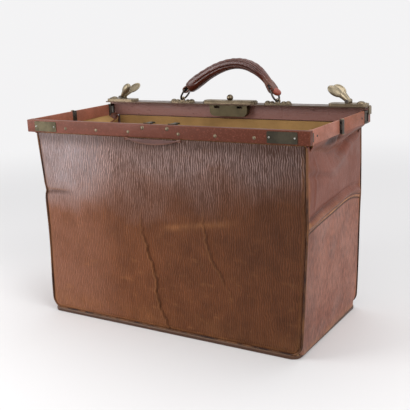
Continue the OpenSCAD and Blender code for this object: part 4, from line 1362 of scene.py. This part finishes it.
def stitch_places():
    """Places of the two rows of stitches along the top of the grip."""
    width, tall = sizes().grip_width / 2, sizes().grip_thickness / 2
    places = []
    for row in STITCH_ROWS:
        for i in range(STITCH_COUNT):
            t = STITCH_START + STITCH_RUN * (i + 0.5) / STITCH_COUNT
            (centre,), (normal,) = grip_frame(np.array([t]))
            along = grip_point(np.array([t + 0.005]))[0] - centre
            x, z = centre + normal * tall * 0.62 * (1 - 0.2 * max(0, (t - 0.6) / 0.14))
            out = (normal[0], row * 0.5, normal[1])
            places.append(((x, HANDLE_Y + row * width, z), (along[0], 0, along[1]), out))
    return places


class BAG_OT_handle(bpy.types.Operator):
    """Adds the stuffed grip with its sewn channels, its end loops, its bulb and stitches"""

    bl_idname = "bag.handle"
    bl_label = "Handle"

    def execute(self, context):
        parts = [closed_grip(), *(ring_loop(where, *LOOPS[where]) for where in SIDES)]
        clear_selection()
        bpy.ops.mesh.primitive_uv_sphere_add(segments=36, ring_count=24, radius=1)
        bulb = take("handle_bulb")
        ball = points_of(bulb)
        put_points(bulb, np.sign(ball) * np.abs(ball) ** 0.86 * BULB_HALF + (BULB_OUT, 0, 0))
        x, z = RING_ENDS["right"]
        bulb.rotation_euler, bulb.location = (0, BULB_TURN, 0), (x, HANDLE_Y, z)
        fit(smooth(outwards(settle(bulb)), 60), "red_leather", "handle_leather", "handle")
        sewn = stitches("grip_stitches", stitch_places(), sizes().stitch * 0.9, 0.42 * MM)
        fit(sewn, "thread", "piping", "handle")
        handle = joined("handle_grip_leather", parts)
        fit(handle, "handle_leather", "handle_leather", "handle", "handle_grip")
        return {"FINISHED"}


# Latches

# Each lever's lean and roll, the splay of its front and rear lobe in degrees, and the lobes' half sizes in mm
LEVERS = {
    "left": {"lean": 36, "roll": 60, "splay": {FRONT: 18, REAR: 30}, "wide": 7.8, "tall": 6.6},
    "right": {"lean": 35, "roll": 38, "splay": {FRONT: 14, REAR: 14}, "wide": 8.2, "tall": 4.6},
}
BARREL_RADIUS, BARREL_LENGTH = 2.9 * MM, 11.8 * MM
NECK_APART = 3.4 * MM
LOBE_REACH, LOBE_LIFT = 25 * MM, 2.2 * MM
LOBE_LONG, SPOON_LONG, SPOON_TALL = 13 * MM, 12.2 * MM, 1.7 * MM
RIM_RADIUS, RIM_WIRE, RIM_STRETCH = 7.6 * MM, 1.2 * MM, 1.42


def lobe(where, side, end):
    """Parts of one lobe of a latch lever: a domed egg in front or a rimmed spoon behind, and its neck."""
    lever = LEVERS[where]
    lean, roll, splay = (math.radians(a) for a in (lever["lean"], lever["roll"], lever["splay"][end]))
    flat = -side * math.cos(lean) * math.cos(splay)
    along = Vector((flat, end * math.sin(splay), math.sin(lean) * math.cos(splay)))
    lift = Vector((side * math.sin(lean), 0, math.cos(lean)))
    across = along.cross(lift).normalized() * side
    up = (lift * math.cos(roll) - across * math.copysign(math.sin(roll), across.y)).normalized()
    across = up.cross(along).normalized()
    turn = Matrix((along, across, along.cross(across))).transposed().to_euler()
    pivot = middle_of(f"{where}_latch_pin")
    start = Vector((pivot.x, HANDLE_Y + end * NECK_APART, pivot.z))
    centre = start + along * LOBE_REACH + lift * LOBE_LIFT
    long, tall = (LOBE_LONG, lever["tall"] * MM) if end == FRONT else (SPOON_LONG, SPOON_TALL)
    half = (long, lever["wide"] * MM, tall)
    parts = [egg("egg", centre, half, 40, 24, turn)]
    if end == REAR:
        parts.append(collar("rim", centre + up * 0.7 * MM, RIM_RADIUS, RIM_WIRE, 48, 10, turn, RIM_STRETCH))
    clear_selection()
    neck = centre - along * 9 * MM - start
    bpy.ops.mesh.primitive_cone_add(
        vertices=24,
        radius1=BARREL_RADIUS,
        radius2=4.4 * MM,
        depth=neck.length,
        location=start + neck / 2,
        rotation=neck.to_track_quat("Z", "Y").to_euler(),
    )
    parts.append(smooth(bevel(settle(take("neck")), 0.6 * MM, 2), 50))
    return parts


class BAG_OT_latches(bpy.types.Operator):
    """Adds the two latch levers with their domed lobes"""

    bl_idname = "bag.latches"
    bl_label = "Latches"

    def execute(self, context):
        for where, side in SIDES.items():
            pin = middle_of(f"{where}_latch_pin")
            clear_selection()
            bpy.ops.mesh.primitive_cylinder_add(
                vertices=32,
                radius=BARREL_RADIUS,
                depth=BARREL_LENGTH,
                location=(pin.x, HANDLE_Y, pin.z),
                rotation=(math.pi / 2, 0, 0),
            )
            barrel = smooth(bevel(settle(take("barrel")), 0.5 * MM, 2))
            parts = [barrel, *lobe(where, side, FRONT), *lobe(where, side, REAR)]
            lever = joined(f"{where}_latch_lobes", parts)
            fit(lever, "light_brass", "brass", f"{where}_latch", f"{where}_latch_lever")
        return {"FINISHED"}


class BAG_OT_bosses(bpy.types.Operator):
    """Adds the cast bosses of the handle plates and of the latch bases"""

    bl_idname = "bag.bosses"
    bl_label = "Bosses"

    def execute(self, context):
        for where, side in SIDES.items():
            middle = middle_of(f"{where}_handle_plate").x
            low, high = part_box(f"{where}_latch_base")
            tip = high.x if side > 0 else low.x
            # Each boss: x in metres, then its rise over the top plate, radius and height in mm
            rows = {
                "handle": [
                    (middle + s * a * MM, 1.2, radius, tall)
                    for s in (-1, 1)
                    for a, radius, tall in ((10.5, 4.6, 3.8), (18.5, 5.0, 4.4))
                ],
                "latch": [(tip - side * 11 * MM, 4, 6.4, 3.6), (tip - side * 3.5 * MM, 1, 4.0, 4.6)],
            }
            for use, bosses in rows.items():
                parts = []
                for x, rise, radius, tall in bosses:
                    at = (x, HANDLE_Y, PLATE_TOP + rise * MM)
                    parts.append(egg("dome", at, (radius * MM, (radius + 1.2) * MM, tall * MM), 28, 16))
                    parts.append(collar("collar", at, radius * MM, 0.8 * MM, 32, 8))
                fit(joined(f"{where}_{use}_bosses", parts), "brass", "brass", "rear_frame")
        return {"FINISHED"}


# Finishes of the CAD nodes

# Nodes whose finish isn't that of their slot
OWN_FINISHES = {
    "right_wear_plate": "dark_brass",
    "left_staple": "dark_brass",
    "right_staple": "dark_brass",
    "top_plate": "plate_metal",
    "front_bar_rivets": "brass",
}


class BAG_OT_finishes(bpy.types.Operator):
    """Gives every piece of the frame its finish"""

    bl_idname = "bag.finishes"
    bl_label = "Finishes"

    def execute(self, context):
        for entry in frame["record"]["subparts"]:
            node = entry["node"]
            finish = OWN_FINISHES.get(node, entry["material_slot"])
            if node.endswith("_front_bracket"):
                finish = "arm_leather"
            dress(frame["nodes"][node], finish_of(finish))
        return {"FINISHED"}


# Stage

# Lamps: place, size in metres and power in watts
LAMPS = {
    "key": ((1.8, -0.7, 1.5), 1.4, 26),
    "left": ((-0.85, -0.85, 0.62), 0.8, 9),
    "top": ((0.1, 0.5, 2.2), 1.6, 16),
}
LAMPS_AIM = Vector((0, 0, 0.2))
FLOOR_COLOUR = (0.91, 0.905, 0.905)
SKY_COLOUR, SKY_STRENGTH = (0.97, 0.98, 1.0, 1), 0.5
# The floor turns into the background between these distances, in metres
FLOOR_FADE = (0.55, 1.9)

# The photograph's view: place in metres, angles in radians, focal length and width in pixels
CAMERA_PLACE = (0.646163, -1.011348, 0.477649)
YAW, PITCH, ROLL = 0.558, 0.244, -0.046
FOCAL_LENGTH, PHOTO_WIDTH = 757.923, 410
SENSOR_WIDTH = 36


def add_floor():
    clear_selection()
    bpy.ops.mesh.primitive_plane_add(size=12)
    floor = take("floor")
    f = Finish("pale_floor", 0.9)
    f.shader.inputs["Base Color"].default_value = linear(FLOOR_COLOUR)
    far = f.fed("ShaderNodeVectorMath", "Value", {0: f.places}, operation="LENGTH")
    glow = f.fed("ShaderNodeEmission", 0, {"Color": shade("backdrop")})
    paled = f.level(far, *FLOOR_FADE, smooth=True)
    mixed = f.fed("ShaderNodeMixShader", 0, {0: paled, 1: f.shader.outputs[0], 2: glow})
    f.feed(f.tree.nodes["Material Output"].inputs["Surface"], mixed)
    dress(floor, f.material)


def add_background(scene):
    """A soft pale light, and the backdrop's own colour where the camera or a gloss sees it."""
    scene.world = scene.world or bpy.data.worlds.new("world")
    scene.world.use_nodes = True
    sky = Nodes(scene.world.node_tree)
    sky.tree.nodes.clear()
    rays = sky.node("ShaderNodeLightPath").outputs
    both = {0: rays["Is Camera Ray"], 1: rays["Is Glossy Ray"]}
    seen = sky.fed("ShaderNodeMath", 0, both, operation="MAXIMUM")
    light = sky.fed("ShaderNodeBackground", 0, {"Color": SKY_COLOUR, "Strength": SKY_STRENGTH})
    backdrop = sky.fed("ShaderNodeBackground", 0, {"Color": shade("backdrop")})
    mixed = sky.fed("ShaderNodeMixShader", 0, {0: seen, 1: light, 2: backdrop})
    sky.feed(sky.node("ShaderNodeOutputWorld").inputs[0], mixed)


def add_lamps():
    for name, (place, size, power) in LAMPS.items():
        bpy.ops.object.light_add(type="AREA", location=place)
        lamp = bpy.context.object
        lamp.name = name
        lamp.data.size = size
        lamp.data.energy = power
        lamp.rotation_euler = (LAMPS_AIM - Vector(place)).to_track_quat("-Z", "Y").to_euler()


def add_camera(scene):
    ahead = Vector((-math.sin(YAW) * math.cos(PITCH), math.cos(YAW) * math.cos(PITCH), -math.sin(PITCH)))
    level = Vector((math.cos(YAW), math.sin(YAW), 0))
    above = level.cross(ahead)
    across = level * math.cos(ROLL) + above * math.sin(ROLL)
    up = above * math.cos(ROLL) - level * math.sin(ROLL)
    bpy.ops.object.camera_add()
    camera = bpy.context.object
    turn = Matrix((across, up, -ahead)).transposed().to_4x4()
    camera.matrix_world = Matrix.Translation(CAMERA_PLACE) @ turn
    camera.data.lens = FOCAL_LENGTH / PHOTO_WIDTH * SENSOR_WIDTH
    camera.data.sensor_width = SENSOR_WIDTH
    camera.data.clip_start = 0.01
    scene.camera = camera


class BAG_OT_stage(bpy.types.Operator):
    """Adds the floor, the background, the lamps and the camera"""

    bl_idname = "bag.stage"
    bl_label = "Stage"

    def execute(self, context):
        add_floor()
        add_background(context.scene)
        add_lamps()
        add_camera(context.scene)
        context.scene.view_settings.view_transform = "Standard"
        return {"FINISHED"}


class BAG_PT_sidebar(bpy.types.Panel):
    """The bag's sizes, colours and pieces"""

    bl_idname = "BAG_PT_sidebar"
    bl_label = "Gladstone Bag"
    bl_space_type = "VIEW_3D"
    bl_region_type = "UI"
    bl_category = "Bag"

    def draw(self, context):
        layout = self.layout
        for group in (context.scene.bag_sizes, context.scene.bag_colours):
            column = layout.column(align=True)
            for key in group.__annotations__:
                column.prop(group, key)
        column = layout.column(align=True)
        for operator in OPERATORS:
            column.operator(operator.bl_idname)


OPERATORS = (
    BAG_OT_panels,
    BAG_OT_linings,
    BAG_OT_gussets,
    BAG_OT_seams,
    BAG_OT_piping,
    BAG_OT_base,
    BAG_OT_bars,
    BAG_OT_arms,
    BAG_OT_corners,
    BAG_OT_nails,
    BAG_OT_tab,
    BAG_OT_handle,
    BAG_OT_latches,
    BAG_OT_bosses,
    BAG_OT_finishes,
    BAG_OT_stage,
)
CLASSES = (BagSizes, BagColours, *OPERATORS, BAG_PT_sidebar)


def register():
    for each in CLASSES:
        bpy.utils.register_class(each)
    bpy.types.Scene.bag_sizes = bpy.props.PointerProperty(type=BagSizes)
    bpy.types.Scene.bag_colours = bpy.props.PointerProperty(type=BagColours)


def unregister():
    del bpy.types.Scene.bag_sizes
    del bpy.types.Scene.bag_colours
    for each in reversed(CLASSES):
        bpy.utils.unregister_class(each)


def main():
    register()
    for operator in OPERATORS:
        getattr(bpy.ops.bag, operator.bl_idname.removeprefix("bag."))()


if __name__ == "__main__":
    main()
